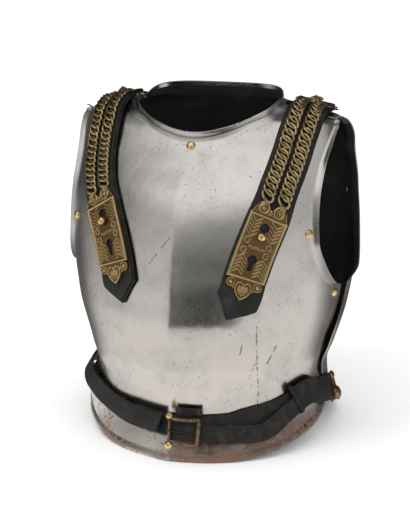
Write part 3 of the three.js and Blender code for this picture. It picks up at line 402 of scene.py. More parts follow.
def settled_route(points, outwards, reach_at, lift_at):
    """The route raised until a band clears the steel, bridging the hollows.

    reach_at gives how far the band reaches to either side of its middle line.
    """
    first = Route(points, outwards)
    stations = np.linspace(0, first.length, round(first.length / 8) + 1)
    position, across, along, out = first.frames(stations)
    needed = np.full(len(stations), -4.0)
    for i in range(len(stations)):
        low, high = reach_at(stations[i] / first.length)
        for step in (-5, 0, 5):
            for reach in np.linspace(low, high, 13):
                probe = position[i] + across[i] * reach + along[i] * step
                needed[i] = max(needed[i], face_height(probe, out[i]))
    lifts = needed.copy()
    for _ in range(6):
        padded = np.pad(lifts, 1, mode="edge")
        lifts = np.maximum(needed, (padded[:-2] + 2 * lifts + padded[2:]) / 4)
    extra = np.array([lift_at(s / first.length) for s in stations])
    return Route(position + out * (lifts + extra)[:, None], out)


def strap_route(name):
    sign = 1 if name == "left" else -1
    column = 1 if name == "left" else 2
    points, outwards = [], []
    for i, row in enumerate(STRAP_ROWS):
        z = row[0] + (STRAP_FOOT_RISE[name] if i == 0 else 0)
        points.append(breast.face(sign * row[column], z))
        outwards.append(breast.face_normal(sign * row[column], z, 12))
    slope = 17 / 70
    crest = STRAP_CREST_X[name]
    points.append(np.array([sign * crest, 0, NECK_CORNER_Z - (crest - NECK_HALF_WIDTH) * slope + 1.2]))
    outwards.append(unit(np.array([sign * slope, -0.1, 1.0])))
    for row in STRAP_BACK_ROWS:
        points.append(back.face(sign * row[column], row[0]))
        outwards.append(back.face_normal(sign * row[column], row[0], 8))
    half = STRAP_WIDTH / 2 + LINING_EXTRA
    return settled_route(points, outwards, lambda share: (-half, half), lambda share: 0)


def belt_route(rows, half_width=BELT_WIDTH / 2):
    points, outwards = [], []
    for turn, z, _, _ in rows:
        on_back = abs(turn) > 90
        plate = back if on_back else breast
        degrees = math.copysign(180 - abs(turn), turn) if on_back else turn
        sideways = plate.section(degrees + 4, z) - plate.section(degrees - 4, z)
        up = plate.section(degrees, z + BELT_WIDTH / 2) - plate.section(degrees, z - BELT_WIDTH / 2)
        points.append(plate.section(degrees, z))
        outwards.append(unit(np.cross(sideways, up)) * -plate.side)

    def value_at(share, column):
        place = share * (len(rows) - 1)
        i = min(int(place), len(rows) - 2)
        return rows[i][column] + (rows[i + 1][column] - rows[i][column]) * float(smooth_step(place - i))

    reach_at = lambda share: (-half_width, value_at(share, 3))
    return settled_route(points, outwards, reach_at, lambda share: value_at(share, 2))


# ---- meshes ----
def to_frame(points):
    return (np.asarray(points, float) + FRAME_SHIFT) / 1000


def make_piece(name, points, faces, materials, slot, replaces=(), face_slots=None, relief=None):
    """A smooth-shaded piece on the cuirass's one body, from points in millimetres."""
    mesh = bpy.data.meshes.new(name)
    mesh.from_pydata(to_frame(points).tolist(), [], [list(map(int, f)) for f in faces])
    mesh.validate()
    mesh.polygons.foreach_set("use_smooth", [True] * len(mesh.polygons))
    for material in materials:
        mesh.materials.append(Workshop.materials[material])
    if face_slots is not None:
        mesh.polygons.foreach_set("material_index", list(map(int, face_slots)))
    if relief is not None:
        mesh.attributes.new("relief", "FLOAT", "POINT").data.foreach_set("value", list(relief))
    mesh.update()
    piece = bpy.data.objects.new(name, mesh)
    bpy.context.scene.collection.objects.link(piece)
    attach(piece, "root")
    if replaces:
        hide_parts(*replaces)
    return piece


def grid_faces(rows, columns, start=0, turned=False, wrap=False):
    """Quads of a grid of points laid out row by row."""
    j, i = np.meshgrid(np.arange(rows - 1), np.arange(columns if wrap else columns - 1), indexing="ij")
    nxt = (i + 1) % columns
    quads = np.stack([j * columns + i, j * columns + nxt, (j + 1) * columns + nxt, (j + 1) * columns + i], -1)
    quads = quads.reshape(-1, 4) + start
    return quads[:, ::-1] if turned else quads


def thick_sheet(outer, inner, rows, columns, turned=False):
    """A sheet between two grids of points, closed round its border."""
    count = rows * columns
    faces = [tuple(face) for face in grid_faces(rows, columns, 0, turned)]
    faces += [tuple(face) for face in grid_faces(rows, columns, count, not turned)]
    border = list(range(columns))
    border += [j * columns + columns - 1 for j in range(1, rows)]
    border += [(rows - 1) * columns + i for i in range(columns - 2, -1, -1)]
    border += [j * columns for j in range(rows - 2, 0, -1)]
    way = -1 if turned else 1
    faces += [(b, a, a + count, b + count)[::way] for a, b in zip(border, border[1:] + border[:1])]
    return np.vstack([outer, inner]), faces


def joined(parts):
    """Several (points, faces) lumps as one."""
    points, faces, count = [], [], 0
    for lump_points, lump_faces in parts:
        points.append(np.asarray(lump_points, float))
        faces += [tuple(int(i) + count for i in face) for face in lump_faces]
        count += len(lump_points)
    return np.vstack(points), faces


def tube(path, radius, sides=12, closed=False, flat=1.0, up=None):
    """A round bar along a line of points; its radius may change along it."""
    path = np.asarray(path, float)
    radius = np.broadcast_to(radius, len(path))
    if closed:
        along = unit(np.roll(path, -1, axis=0) - np.roll(path, 1, axis=0))
    else:
        along = unit(np.gradient(path, axis=0))
    up = np.array([0.0, 0.0, 1.0]) if up is None else np.asarray(up, float)
    side = unit(np.cross(along, up))
    over = np.cross(side, along)
    angle = np.linspace(0, 2 * np.pi, sides, endpoint=False)
    ring = side[:, None] * np.cos(angle)[None, :, None] + over[:, None] * np.sin(angle)[None, :, None] * flat
    points = (path[:, None] + ring * radius[:, None, None]).reshape(-1, 3)
    faces = [tuple(f) for f in grid_faces(len(path), sides, wrap=True)]
    if closed:
        last = (len(path) - 1) * sides
        faces += [(last + i, last + (i + 1) % sides, (i + 1) % sides, i) for i in range(sides)]
    else:
        faces.append(tuple(range(sides))[::-1])
        faces.append(tuple(range(len(points) - sides, len(points))))
    return points, faces


def lathe(profile, sides=32):
    """A turned lump about its own third axis, from [radius, height] pairs."""
    points, rings = [], []
    for radius, height in profile:
        if radius < 1e-6:
            rings.append([len(points)])
            points.append((0, 0, height))
            continue
        rings.append(list(range(len(points), len(points) + sides)))
        for k in range(sides):
            angle = 2 * math.pi * k / sides
            points.append((radius * math.cos(angle), radius * math.sin(angle), height))
    faces = []
    for low, high in zip(rings, rings[1:]):
        for k in range(sides):
            n = (k + 1) % sides
            if len(low) == 1 and len(high) == 1:
                break
            if len(low) == 1:
                faces.append((low[0], high[n], high[k]))
            elif len(high) == 1:
                faces.append((low[k], low[n], high[0]))
            else:
                faces.append((low[k], low[n], high[n], high[k]))
    return np.array(points), faces


def rounded(profile):
    """A turned profile with its corners softened by cutting them, twice over."""
    line = np.asarray(profile, float)
    for _ in range(2):
        soft = [line[0]]
        for a, b in zip(line, line[1:]):
            soft += [a * 0.8 + b * 0.2, a * 0.2 + b * 0.8]
        soft.append(line[-1])
        line = np.array(soft)
    return line.tolist()


def set_down(lump, position, across, along, out):
    """A lump made about its own axes, put on a frame."""
    points, faces = lump
    basis = np.stack([across, along, out])
    return position + np.asarray(points, float) @ basis, faces


def route_frame(route, s, across=0.0, height=0.0):
    position, side, along, out = (part[0] for part in route.frames(s))
    return position + side * across + out * height, side, along, out


# ---- the two plates ----
def spread(breaks, counts):
    """Grid lines between breaks, so many to each stretch."""
    lines = [np.linspace(a, b, n, endpoint=False) for a, b, n in zip(breaks, breaks[1:], counts)]
    return np.concatenate(lines + [[breaks[-1]]])


def soft_ridge(distance, at, width):
    return np.exp(-(((distance - at) / width) ** 2))


def edge_relief(outer):
    """How much of the groove and of the rounded rim each point of a plate's face has."""
    steps = np.linalg.norm(np.diff(outer, axis=0), axis=2)
    from_foot = np.vstack([np.zeros(outer.shape[1]), np.cumsum(steps, axis=0)])
    from_top = from_foot[-1] - from_foot
    groove = soft_ridge(from_top, GROOVE_AT, 1.5) + 0.7 * soft_ridge(from_foot, GROOVE_AT, 1.5)
    swell = soft_ridge(from_top, SWELL_AT, 2.2) + 0.6 * soft_ridge(from_foot, SWELL_AT, 2.2)
    return groove, swell


def plate_piece(plate, thickness, name):
    """One steel plate, polished outside and on its edges, and inside along its neck and arm edges."""
    half = spread([0, NECK_CORNER_U, 0.86, 1], [30, 26, 24])
    u = np.concatenate([-half[:0:-1], half])
    v = spread([0, 0.03, 0.9, 1], [12, 88, 34])
    uu, vv = np.meshgrid(u, v)
    outer = plate.point(uu, vv)
    normals = plate.normal(uu, vv)
    inner = outer - normals * thickness
    groove, swell = edge_relief(outer)
    outer = outer + normals * (SWELL_HEIGHT * swell - GROOVE_DEPTH * groove)[..., None]
    rows, columns = uu.shape
    points, faces = thick_sheet(outer.reshape(-1, 3), inner.reshape(-1, 3), rows, columns, plate.side > 0)
    at_neck = np.abs((u[1:] + u[:-1]) / 2) < NECK_CORNER_U
    # Inner faces away from the neck and arm edges take the near-black inside finish. Its darkness partly
    # stands in for the shade inside the shell, as painted shade.
    shaded_inside = v[:-1, None] < np.where(at_neck, NECK_POLISHED_ABOVE, ARM_POLISHED_ABOVE)
    slots = np.zeros(len(faces), int)
    slots[shaded_inside.size:2 * shaded_inside.size] = shaded_inside.ravel()
    # The groove mask, stored as relief, darkens the groove's colour as painted shade.
    groove_shade = np.concatenate([groove.ravel(), np.zeros(groove.size)])
    piece = make_piece(name + "_steel", points, faces, ["steel", "inside"], "steel", [name], slots, groove_shade)
    bevel = piece.modifiers.new("softened edges", "BEVEL")
    bevel.width = thickness * 0.00032
    bevel.segments = 2
    bevel.limit_method = "ANGLE"
    bevel.angle_limit = math.radians(55)
    return points, faces


def lay_steel():
    """Both plates, and the routes of the straps and the belt laid over them."""
    lumps = [plate_piece(breast, BREAST_THICKNESS, "breastplate")]
    lumps.append(plate_piece(back, BACK_THICKNESS, "backplate"))
    points, faces = joined(lumps)
    Workshop.steel = BVHTree.FromPolygons([Vector(p) for p in points], faces)
    Workshop.straps = {name: strap_route(name) for name in ("left", "right")}
    Workshop.belts = {
        "long": belt_route(LONG_STRAP_ROWS, LONG_STRAP_HALF),
        "buckle": belt_route(BUCKLE_STRAP_ROWS),
        "backing": belt_route(BACKING_ROWS),
        "tab": belt_route([(TAB_TURN + turn, TAB_Z, 3.4, 12) for turn in (-5.2, 0, 5.2)]),
    }


# ---- leather ----
def band(route, stations, sides_at, low, thick, sway=0.25, seed=0.0):
    """A leather band with rounded edges, a little uneven as cut leather is.

    sides_at gives where its two edges lie, across from the middle line.
    """
    edge = min(0.7, thick * 0.35)
    across_steps = 9
    points = []
    for s in stations:
        near, far = sides_at(s)
        wander = sway * noise.noise(Vector((s * 0.035, seed, 0.3)))
        sides = (near + wander + 0.5 * sway * noise.noise(Vector((s * 0.2, seed, 5.1))),
                 far + wander + 0.5 * sway * noise.noise(Vector((s * 0.2, seed, 9.7))))
        ring = []
        for height, run in ((low, 1), (low + thick, -1)):
            inner = np.linspace(sides[0] + edge, sides[1] - edge, across_steps)[::run]
            crown = 0.12 * (1 - (2 * (inner - sides[0]) / (sides[1] - sides[0]) - 1) ** 2)
            ring += [(a, height + (c if height > low else 0)) for a, c in zip(inner, crown)]
            end = sides[1] if run > 0 else sides[0]
            mid = low + edge if run > 0 else low + thick - edge
            ring += [(end - run * edge * 0.3, height + run * edge * 0.3), (end, mid)]
            shoulder = low + thick - edge if run > 0 else low + edge
            over = low + thick if run > 0 else low
            ring += [(end, shoulder), (end - run * edge * 0.3, over - run * edge * 0.3)]
        points.append(route.place(s, np.array([a for a, _ in ring]), np.array([h for _, h in ring])))
    count = len(points[0])
    points = np.vstack(points)
    faces = [tuple(f) for f in grid_faces(len(stations), count, wrap=True)]
    faces.append(tuple(range(count))[::-1])
    faces.append(tuple(range(len(points) - count, len(points))))
    return points, faces


def strap_sides(tip, extra):
    """Edges of a shoulder strap that comes to a point at tip and is waisted behind its front plate."""
    def sides_at(s):
        waisted = float(smooth_step((s - PLATE_HEAD + 10) / 40))
        wide = (STRAP_TIP_WIDTH + (STRAP_WIDTH - STRAP_TIP_WIDTH) * waisted) / 2 + extra
        half = max(1.2, wide * min(1, (s - tip) / STRAP_POINT_LENGTH + 0.05))
        return -half, half

    return sides_at


def lay_strap_leather():
    end = CHAIN_END + END_PLATE_LENGTH + 2
    for name, route in Workshop.straps.items():
        seed = 3.0 if name == "left" else 8.0
        tip = STRAP_POINT_AT[name]
        layers = (
            ("strap_lining", tip - 3, LINING_EXTRA, LINING_LOW, 0.4, seed),
            ("shoulder_strap", tip, 0, STRAP_LOW, 0.5, seed + 2),
        )
        for layer, start, extra, low, sway, wander_seed in layers:
            stations = spread([start, tip + STRAP_POINT_LENGTH, end], [14, 110])
            lump = band(route, stations, strap_sides(start, extra), low, LEATHER, sway, wander_seed)
            make_piece(f"{layer}_leather_{name}", *lump, ["leather"], "leather", [f"{layer}_{name}"])


# ---- curb chains ----
def lay_chains(pitch, wire):
    """Each row is a curb chain: closed links, all alike, each through its neighbours."""
    turns = np.linspace(0, 2 * np.pi, 40, endpoint=False)
    for name, route in Workshop.straps.items():
        sign = 1 if name == "left" else -1
        for row, inward in (("inner", 1), ("outer", -1)):
            side = route.frames(200)[1][0]
            middle = -sign * inward * CHAIN_OFFSET * math.copysign(1, side[0])
            count = int(round((CHAIN_END - CHAIN_START) / pitch))
            step = (CHAIN_END - CHAIN_START - 2) / count
            lumps = []
            for k in range(count):
                centre = CHAIN_START + 1 + step * (k + 0.5)
                sway = 0.25 * noise.noise(Vector((k * 0.9, middle, sign)))
                across = (CHAIN_WIDTH / 2 - wire) * np.cos(turns)
                along = 0.74 * pitch * np.sin(turns) - 0.36 * across
                lift = METAL_LOW + wire + 1.1 + 1.05 * np.sin(2 * turns)
                path = route.place(centre + along + sway, middle + across + sway, lift)
                lumps.append(tube(path, wire, 8, closed=True, up=route.frames(centre)[3][0]))
            node = "chain_" + name + "_" + row
            make_piece("curb_" + node, *joined(lumps), ["chain"], "chain", [node])


# ---- ornament of the strap plates ----
def circle(x, y, radius, start=0.0, end=360.0, steps=28):
    angle = np.radians(np.linspace(start, end, steps))
    return np.stack([x + radius * np.cos(angle), y + radius * np.sin(angle)], -1)


def spiral(x, y, inner, outer, start, turns, hand, steps=60):
    t = np.linspace(0, 1, steps)
    angle = math.radians(start) + hand * 2 * np.pi * turns * t
    radius = inner + (outer - inner) * t
    return np.stack([x + radius * np.cos(angle), y + radius * np.sin(angle)], -1)


def distance_to(line, points):
    """Distance from each point to a line of points."""
    best = np.full(len(points), 1e9)
    for a, b in zip(line, line[1:]):
        ab = b - a
        t = np.clip(((points - a) @ ab) / max(ab @ ab, 1e-9), 0, 1)
        best = np.minimum(best, np.linalg.norm(points - (a + t[:, None] * ab), axis=1))
    return best


def ornament_lines():
    """Raised lines of the ornament: (line, half width, height)."""
    lines = []
    middle = (LOW_HOLE + HIGH_HOLE) / 2 - 5
    head = PLATE_HEAD
    for side in (-1, 1):
        # Volutes of the head, with the sweep that carries each up from the cross bar.
        x, y = side * VOLUTE_AT[0], VOLUTE_AT[1]
        lines.append((spiral(x, y, 4.4, 6.9, 90, 1.1, -side), 1.25, 1.7))
        lines.append((circle(x, y, 3.0), 0.7, 1.0))
        sweep = np.array([(side * 21, head), (side * 19.5, head + 4), (side * 17.6, head + 9)])
        lines.append((sweep, 0.9, 1.3))
        lines.append((circle(side * 3.2, head + 3.4, 1.7), 0.55, 1.0))
        # Scroll band between the keyholes.
        for x, y, hand in ((13.2, middle + 5.0, 1), (13.4, middle - 5.4, -1)):
            scroll = spiral(side * x, y, 1.7, 4.2, -90 * hand * side, 1.15, side * hand)
            lines.append((scroll, 0.8, 1.3))
        out = np.linspace(0, 10, 22)
        wave = 1.3 * np.sin(out * 1.1)
        lines.append((np.stack([side * out, middle + wave], -1), 0.6, 1.1))
        lines.append((np.stack([side * out, middle - wave], -1), 0.45, 0.8))
        # Chevron leaves: opening upwards over the band, downwards under it.
        arm = np.linspace(0.5, 5.9, 6)
        for foot, way in ((HIGH_HOLE - 13.4, 1), (LOW_HOLE + 3.2, -1)):
            for k in range(5):
                up = foot + way * (LEAF_PITCH * k + 1.05 * arm - 0.03 * arm**2)
                for lean in (-1, 1):
                    lines.append((np.stack([side * LEAF_OUT + lean * arm, up], -1), 1.15, 0.95))
        # Scrolls at the corners of the tip.
        lines.append((circle(side * TIP_SCROLL_AT[0], TIP_SCROLL_AT[1], 4.4), 0.7, 1.1))
    return lines


def tip_outline():
    """The right half of the plate's outline, from its point up to its head."""
    edge = PLATE_WIDTH / 2
    tip = [(0, PLATE_TIP), (2.2, PLATE_TIP + 1.9), (5.0, PLATE_TIP + 4.4)]
    tip += [(7.8, PLATE_TIP + 7.4), (9.8, PLATE_TIP + 10.8)]
    notch = [(11.2, PLATE_TIP + 12.2), (12.6, PLATE_TIP + 12.4), (13.6, PLATE_TIP + 13.4)]
    scroll = circle(*TIP_SCROLL_AT, 5.6, -95, 62, 14).tolist()
    corner = [(edge - 0.6, PLATE_FOOT - 0.6), (edge, PLATE_FOOT + 0.4)]
    side = [(edge, PLATE_HEAD), (edge - 0.2, PLATE_HEAD + 0.6)]
    sweep = [(20.6, PLATE_HEAD + 1.6), (19.8, PLATE_HEAD + 4)]
    head = circle(*VOLUTE_AT, 8.2, 15, 160, 22).tolist()
    middle = [(1.2, PLATE_HEAD + 9.2), (0, PLATE_HEAD + 9.0)]
    return tip + notch + scroll + corner + side + sweep + head + middle


def even_line(line, step):
    line = np.asarray(line, float)
    gaps = np.linalg.norm(np.diff(line, axis=0), axis=1)
    distance = np.concatenate([[0], np.cumsum(gaps)])
    s = np.linspace(0, distance[-1], max(2, round(distance[-1] / step) + 1))
    return np.stack([np.interp(s, distance, line[:, k]) for k in range(2)], -1)


def keyhole(round_at, slot_end):
    """Outline of a keyhole with its slot below."""
    start = math.degrees(math.asin(KEYHOLE_SLOT_HALF / KEYHOLE_RADIUS))
    line = circle(0, round_at, KEYHOLE_RADIUS, -90 + start, 270 - start, 30).tolist()
    foot = circle(0, slot_end + KEYHOLE_SLOT_HALF, KEYHOLE_SLOT_HALF, 180, 360, 10).tolist()
    return np.array(line + foot + [line[0]])


def inside_outline(points, outline):
    """Even-odd test of many points against one closed outline."""
    x, y = points[:, 0], points[:, 1]
    inside = np.zeros(len(points), bool)
    for (x1, y1), (x2, y2) in zip(outline, np.roll(outline, -1, axis=0)):
        if y1 == y2:
            continue
        crossing = ((y1 > y) != (y2 > y)) & (x < (x2 - x1) * (y - y1) / (y2 - y1) + x1)
        inside ^= crossing
    return inside


def ornament_height(points):
    """Height of the cast relief above the plate's ground."""
    x, y = points[:, 0], points[:, 1]
    height = np.zeros(len(points))

    def raise_to(distance, half, rise):
        mound = rise * np.sqrt(np.clip(1 - (distance / half) ** 2, 0, None))
        np.maximum(height, mound, out=height)

    # Rails down both sides and a bar across at the foot and at the head.
    body = (y > PLATE_FOOT) & (y < PLATE_HEAD)
    for inset, half, rise in ((1.7, 1.7, 1.9), (4.3, 0.7, 0.7)):
        rail = np.abs(np.abs(x) - (PLATE_WIDTH / 2 - inset))
        raise_to(np.where(body, rail, FAR), half, rise)
    for bar in (PLATE_FOOT + 1.4, PLATE_HEAD - 1.4):
        raise_to(np.abs(y - bar), 1.5, 2.0)
    for line, half, rise in ornament_lines():
        low, high = line.min(0) - 2, line.max(0) + 2
        near = np.all((points > low) & (points < high), axis=1)
        if near.any():
            distance = np.full(len(points), FAR)
            distance[near] = distance_to(line, points[near])
            raise_to(distance, half, rise)
    bosses = ((*VOLUTE_AT, 2.0, 2.2), (*TIP_SCROLL_AT, 2.4, 2.0), (11.6, PLATE_FOOT - 11.2, 1.1, 1.1))
    for side in (-1, 1):
        for bx, by, radius, rise in bosses:
            raise_to(np.hypot(x - side * bx, y - by), radius, rise)
    raise_to(np.hypot(x, y - PLATE_HEAD - 6.4), 1.9, 1.6)
    raise_to(np.hypot(x, (y - PLATE_HEAD - 3.0) * 0.8), 1.2, 1.2)
    # The palmette in its heart-shaped border.
    heart = np.array([(0, 1.6), (4.6, 5.2), (8.4, 10.4), (9.4, 15.2),
                      (7.6, 19.4), (4.4, 21), (1.4, 19.6), (0, 17.4)])
    heart[:, 1] += PLATE_TIP
    for mirror in (1, -1):
        raise_to(distance_to(heart * [mirror, 1], points), 0.8, 1.5)
    fan_y = y - (PLATE_TIP + 15.4)
    angle = np.arctan2(x, -fan_y)
    reach = np.hypot(x, fan_y)
    leaf_angle = 0.36
    leaf = np.abs(np.mod(angle / leaf_angle + 0.5, 1) - 0.5) * leaf_angle * reach
    fan = (np.abs(angle) < 2.0) & (reach > 1.8) & (reach < 9.6 - 2.4 * np.abs(angle))
    raise_to(np.where(fan, leaf, FAR), 0.42 + 0.09 * reach, 1.2)
    raise_to(reach, 1.7, 1.6)
    return height


def plate_sheet():
    """Flat triangles of the plate and its holes: points, triangles, borders."""
    half = np.array(tip_outline())
    outline = np.concatenate([half, (half * [-1, 1])[-2:0:-1]])
    outline = even_line(np.vstack([outline, outline[:1]]), 0.55)[:-1]
    low = even_line(keyhole(LOW_HOLE, LOW_SLOT_END), 0.55)[:-1]
    high = even_line(keyhole(HIGH_HOLE, STUD_AT - 4.2), 0.55)[:-1]
    borders = [outline, low, high]
    xs = np.arange(-PLATE_WIDTH / 2 + 0.3, PLATE_WIDTH / 2, 0.42)
    ys = np.arange(PLATE_TIP + 0.2, PLATE_TOP + 2, 0.42)
    gx, gy = np.meshgrid(xs, ys)
    gx[1::2] += 0.21
    inner = np.stack([gx.ravel(), gy.ravel()], -1)
    keep = inside_outline(inner, outline) & ~inside_outline(inner, low) & ~inside_outline(inner, high)
    inner = inner[keep]
    for border in borders:
        inner = inner[distance_to(np.vstack([border, border[:1]]), inner) > 0.3]
    flat = np.vstack(borders + [inner])
    edges, start = [], 0
    for border in borders:
        count = len(border)
        edges += [(start + i, start + (i + 1) % count) for i in range(count)]
        start += count
    made = delaunay_2d_cdt([Vector(p) for p in flat], edges, [], 0, 1e-5)
    points = np.array([tuple(p) for p in made[0]])
    triangles = np.array([f for f in made[2] if len(f) == 3])
    middle = points[triangles].mean(axis=1)
    solid = inside_outline(middle, outline) & ~inside_outline(middle, low) & ~inside_outline(middle, high)
    return points, triangles[solid]


def lay_strap_plates():
    flat, triangles = plate_sheet()
    used = np.unique(triangles)
    renumber = np.full(len(flat), -1)
    renumber[used] = np.arange(len(used))
    flat, triangles = flat[used], renumber[triangles]
    sides = {}
    for tri in triangles:
        for a, b in ((tri[0], tri[1]), (tri[1], tri[2]), (tri[2], tri[0])):
            sides[(a, b)] = sides.get((a, b), 0) + 1
    rim = [(a, b) for a, b in sides if (b, a) not in sides]
    on_rim = np.zeros(len(flat), bool)
    on_rim[[a for a, _ in rim]] = True
    height = ornament_height(flat)
    height[on_rim] = np.maximum(height[on_rim] - 0.5, -0.35)
    count = len(flat)
    for name, route in Workshop.straps.items():
        base = METAL_LOW + 0.15
        layer = 3.0 + len(name)
        grain = 0.06 * np.array([noise.noise(Vector((x * 0.8, y * 0.8, layer))) for x, y in flat])
        over = route.place(flat[:, 1], flat[:, 0], base + PLATE_BASE + height + grain)
        under = route.place(flat[:, 1], flat[:, 0], np.full(count, base))
        faces = [tuple(t) for t in triangles] + [tuple(t[::-1] + count) for t in triangles]
        faces += [(b, a, a + count, b + count) for a, b in rim]
        relief = np.concatenate([np.clip(height / 2, 0, 1), np.zeros(count)])
        node = "strap_plate_" + name
        points = np.vstack([over, under])
        make_piece("ornamented_" + node, points, faces, ["brass"], "brass", [node], relief=relief)


# ---- rivets, studs and the straps' rear ends ----
def seated_frame(plate, x, z):
    """A frame on the steel for a rivet head, square to the face."""
    out = plate.face_normal(x, z, 6)
    across = unit(np.cross([0, 0, 1], out))
    along = np.cross(out, across)
    position = plate.face(x, z)
    heights = []
    for k in range(8):
        turn = k * math.pi / 4
        probe = position + across * 5 * math.cos(turn) + along * 5 * math.sin(turn)
        heights.append(face_height(probe, out))
    return position + out * (float(np.median(heights)) + 0.05), across, along, out


def depth_at(position, out):
    hit = Workshop.steel.ray_cast(Vector(position - out * 40), Vector(out), 60)
    return 40 - hit[3] if hit[0] is not None else 0.0


def burr(foot, deep=1.3):
    """The burred end of a shank inside the steel, as the start of a turned profile."""
    return [(0, foot - deep), (3.4, foot - 1.0), (BURR_RADIUS, foot), (SHANK_RADIUS, foot)]


def rivet(depth, radius=5.6, height=3.6):
    foot = -(depth + PLAY)
    profile = [(0, foot - 1.3), (2.2, foot - 1.2), (3.5, foot - 0.7), (BURR_RADIUS, foot)]
    profile += [(SHANK_RADIUS, foot), (SHANK_RADIUS, -0.4), (radius * 0.97, -0.4), (radius, 0.2)]
    profile += [(radius * 0.93, 1.0), (radius * 0.74, height * 0.7)]
    profile += [(radius * 0.4, height * 0.94), (0, height)]
    return lathe(rounded(profile))


def lay_rivets():
    seats = {
        "neck_rivet": (breast, 0, 357), "arm_rivet_left": (breast, 147.5, 264),
        "arm_rivet_right": (breast, -147.5, 264), "side_rivet_left": (breast, 166.5, 183),
        "side_rivet_right": (breast, -166.5, 183), "back_arm_rivet_left": (back, 150, 284),
        "back_arm_rivet_right": (back, -150, 284),
    }
    for name, (plate, x, z) in seats.items():
        position, across, along, out = seated_frame(plate, x, z)
        lump = set_down(rivet(depth_at(position, out)), position, across, along, out)
        make_piece("domed_" + name, *lump, ["brass_plain"], "brass", [name])


def lay_strap_ends():
    """The studs in the upper keyholes, and the plates and rivets behind the shoulders."""
    for name, route in Workshop.straps.items():
        top = METAL_LOW + PLATE_BASE
        profile = burr(-inner_depth(route, STUD_AT) - PLAY)
        profile += [(SHANK_RADIUS, top + 0.8), (3.1, top + 1.4), (4.4, top + 2.4), (5.0, top + 4.2)]
        profile += [(5.1, top + 5.6), (4.5, top + 7.6), (3.0, top + 9.2), (1.2, top + 9.9), (0, top + 10)]
        lump = set_down(lathe(rounded(profile)), *route_frame(route, STUD_AT))
        make_piece("turned_strap_stud_" + name, *lump, ["brass_plain"], "brass", ["strap_stud_" + name])
        top = METAL_LOW + 3 + 0.1
        profile = burr(-inner_depth(route, END_RIVET_AT) - PLAY)
        profile += [(SHANK_RADIUS, top), (4.4, top), (4.6, top + 0.5), (3.9, top + 2.2), (2.2, top + 3.4)]
        profile.append((0, top + 3.8))
        lump = set_down(lathe(rounded(profile)), *route_frame(route, END_RIVET_AT))
        node = "strap_end_rivet_" + name
        make_piece("domed_" + node, *lump, ["brass_plain"], "brass", [node])
        lay_end_plate(name, route)


def lay_end_plate(name, route):
    """The bent plate that closes the chains behind the shoulder, with its pointed boss and leaves."""
    start = CHAIN_END + PLAY
    length = END_PLATE_LENGTH - 2
    ground, boss_at, boss_radius = 1.2, 9.5, 9.6
    columns, rows = 81, 73
    u, v = np.meshgrid(np.linspace(-1, 1, columns), np.linspace(0, 1, rows))
    s = start + length * v - 2.0 * np.abs(np.sin(u * math.pi)) * (1 - v) ** 6
    half = PLATE_WIDTH / 2 - 9 * smooth_step((s - start - 18) / 18)
    x = u * half
    y = s - start
    flat = np.stack([x.ravel(), y.ravel()], -1)
    height = np.full(u.shape, ground)
    lines = []
    for side in (-1, 1):
        lines.append((spiral(side * 12.5, 8, 1.5, 6.5, 90 * side + 90, 1.2, -side), 1.1, 1.6))
        lines.append((np.array([(side * 14, 20), (side * 6, 26), (0, 35)]), 1.0, 1.2))
    for line, wide, rise in lines:
        gap = distance_to(line, flat).reshape(x.shape)
        height = np.maximum(height, ground + rise * np.sqrt(np.clip(1 - (gap / wide) ** 2, 0, None)))
    edge = np.minimum(half - np.abs(x), np.minimum(y + 0.4, length - y + 0.4))
    height = np.maximum(height, ground + 1.2 * np.sqrt(np.clip(1 - ((edge - 1.2) / 1.2) ** 2, 0, None)))
    boss = np.hypot(x, (y - boss_at))
    height = np.maximum(height, ground + 8.4 * np.clip(1 - boss / boss_radius, 0, None) ** 0.75)
    ribs = 0.5 * np.cos(np.arctan2(y - boss_at, x) * 8) * np.clip(1 - np.abs(boss - 5.5) / 4, 0, 1)
    height = height + ribs
    at_rivet = np.hypot(x, y - (END_RIVET_AT - start)) < 5.4
    height = np.where(at_rivet, 1.8, height)
    over = route.place(s.ravel(), x.ravel(), (METAL_LOW + height).ravel())
    under = route.place(s.ravel(), x.ravel(), np.full(s.size, METAL_LOW + 0.05))
    relief = np.concatenate([np.clip((height.ravel() - ground) / 2.4, 0, 1), np.zeros(s.size)])
    node = "strap_end_plate_" + name
    sheet = thick_sheet(over, under, rows, columns)
    make_piece("ornamented_" + node, *sheet, ["brass"], "brass", [node], relief=relief)


# ---- the belt ----
def lay_belt():
    belts = Workshop.belts
    keeper_at = distance_at_x(belts["long"], KEEPER_X)

    def long_sides(s):
        """The long strap is broad as far as its keeper and narrow from there to the buckle."""
        narrowing = float(smooth_step((s - keeper_at + 2) / 4))
        return -LONG_STRAP_HALF, LONG_STRAP_OVER + (LONG_STRAP_HALF - LONG_STRAP_OVER) * narrowing

    def even_sides(half):
        return lambda s: (-half, half)

    parts = (
        ("long", "belt_strap_left", long_sides, 2.0),
        ("buckle", "belt_strap_right", even_sides(BELT_WIDTH / 2), 6.0),
        ("backing", "belt_backing", even_sides(BELT_WIDTH / 2), 11.0),
    )
    for key, node, sides_at, seed in parts:
        run = belts[key]
        stations = np.linspace(0, run.length, int(run.length / 2.6))
        lump = band(run, stations, sides_at, 0, BELT_LEATHER, 0.9, seed)
        make_piece(node + "_leather", *lump, ["belt"], "leather", [node])
    run = belts["tab"]
    stations = np.linspace(0, run.length, 24)
    lump = band(run, stations, even_sides(TAB_HEIGHT / 2), 0, TAB_LEATHER, 0.5, 4.0)
    make_piece("belt_tab_leather", *lump, ["belt"], "leather", ["belt_tab"])
    # Its stitches: two short twists of thread at each end.
    stitches = []
    arch = TAB_LEATHER + 0.55 * np.sin(np.linspace(0, np.pi, 7))
    for s in (3.6, run.length - 3.6):
        for across in (-2.2, 1.6):
            line = run.place(np.linspace(s - 1.3, s + 1.3, 7), across, arch)
            stitches.append(tube(line, 0.45, 8, up=run.frames(s)[3][0]))
    make_piece("belt_tab_stitches", *joined(stitches), ["thread"], "leather")
    lay_keeper(belts["long"])


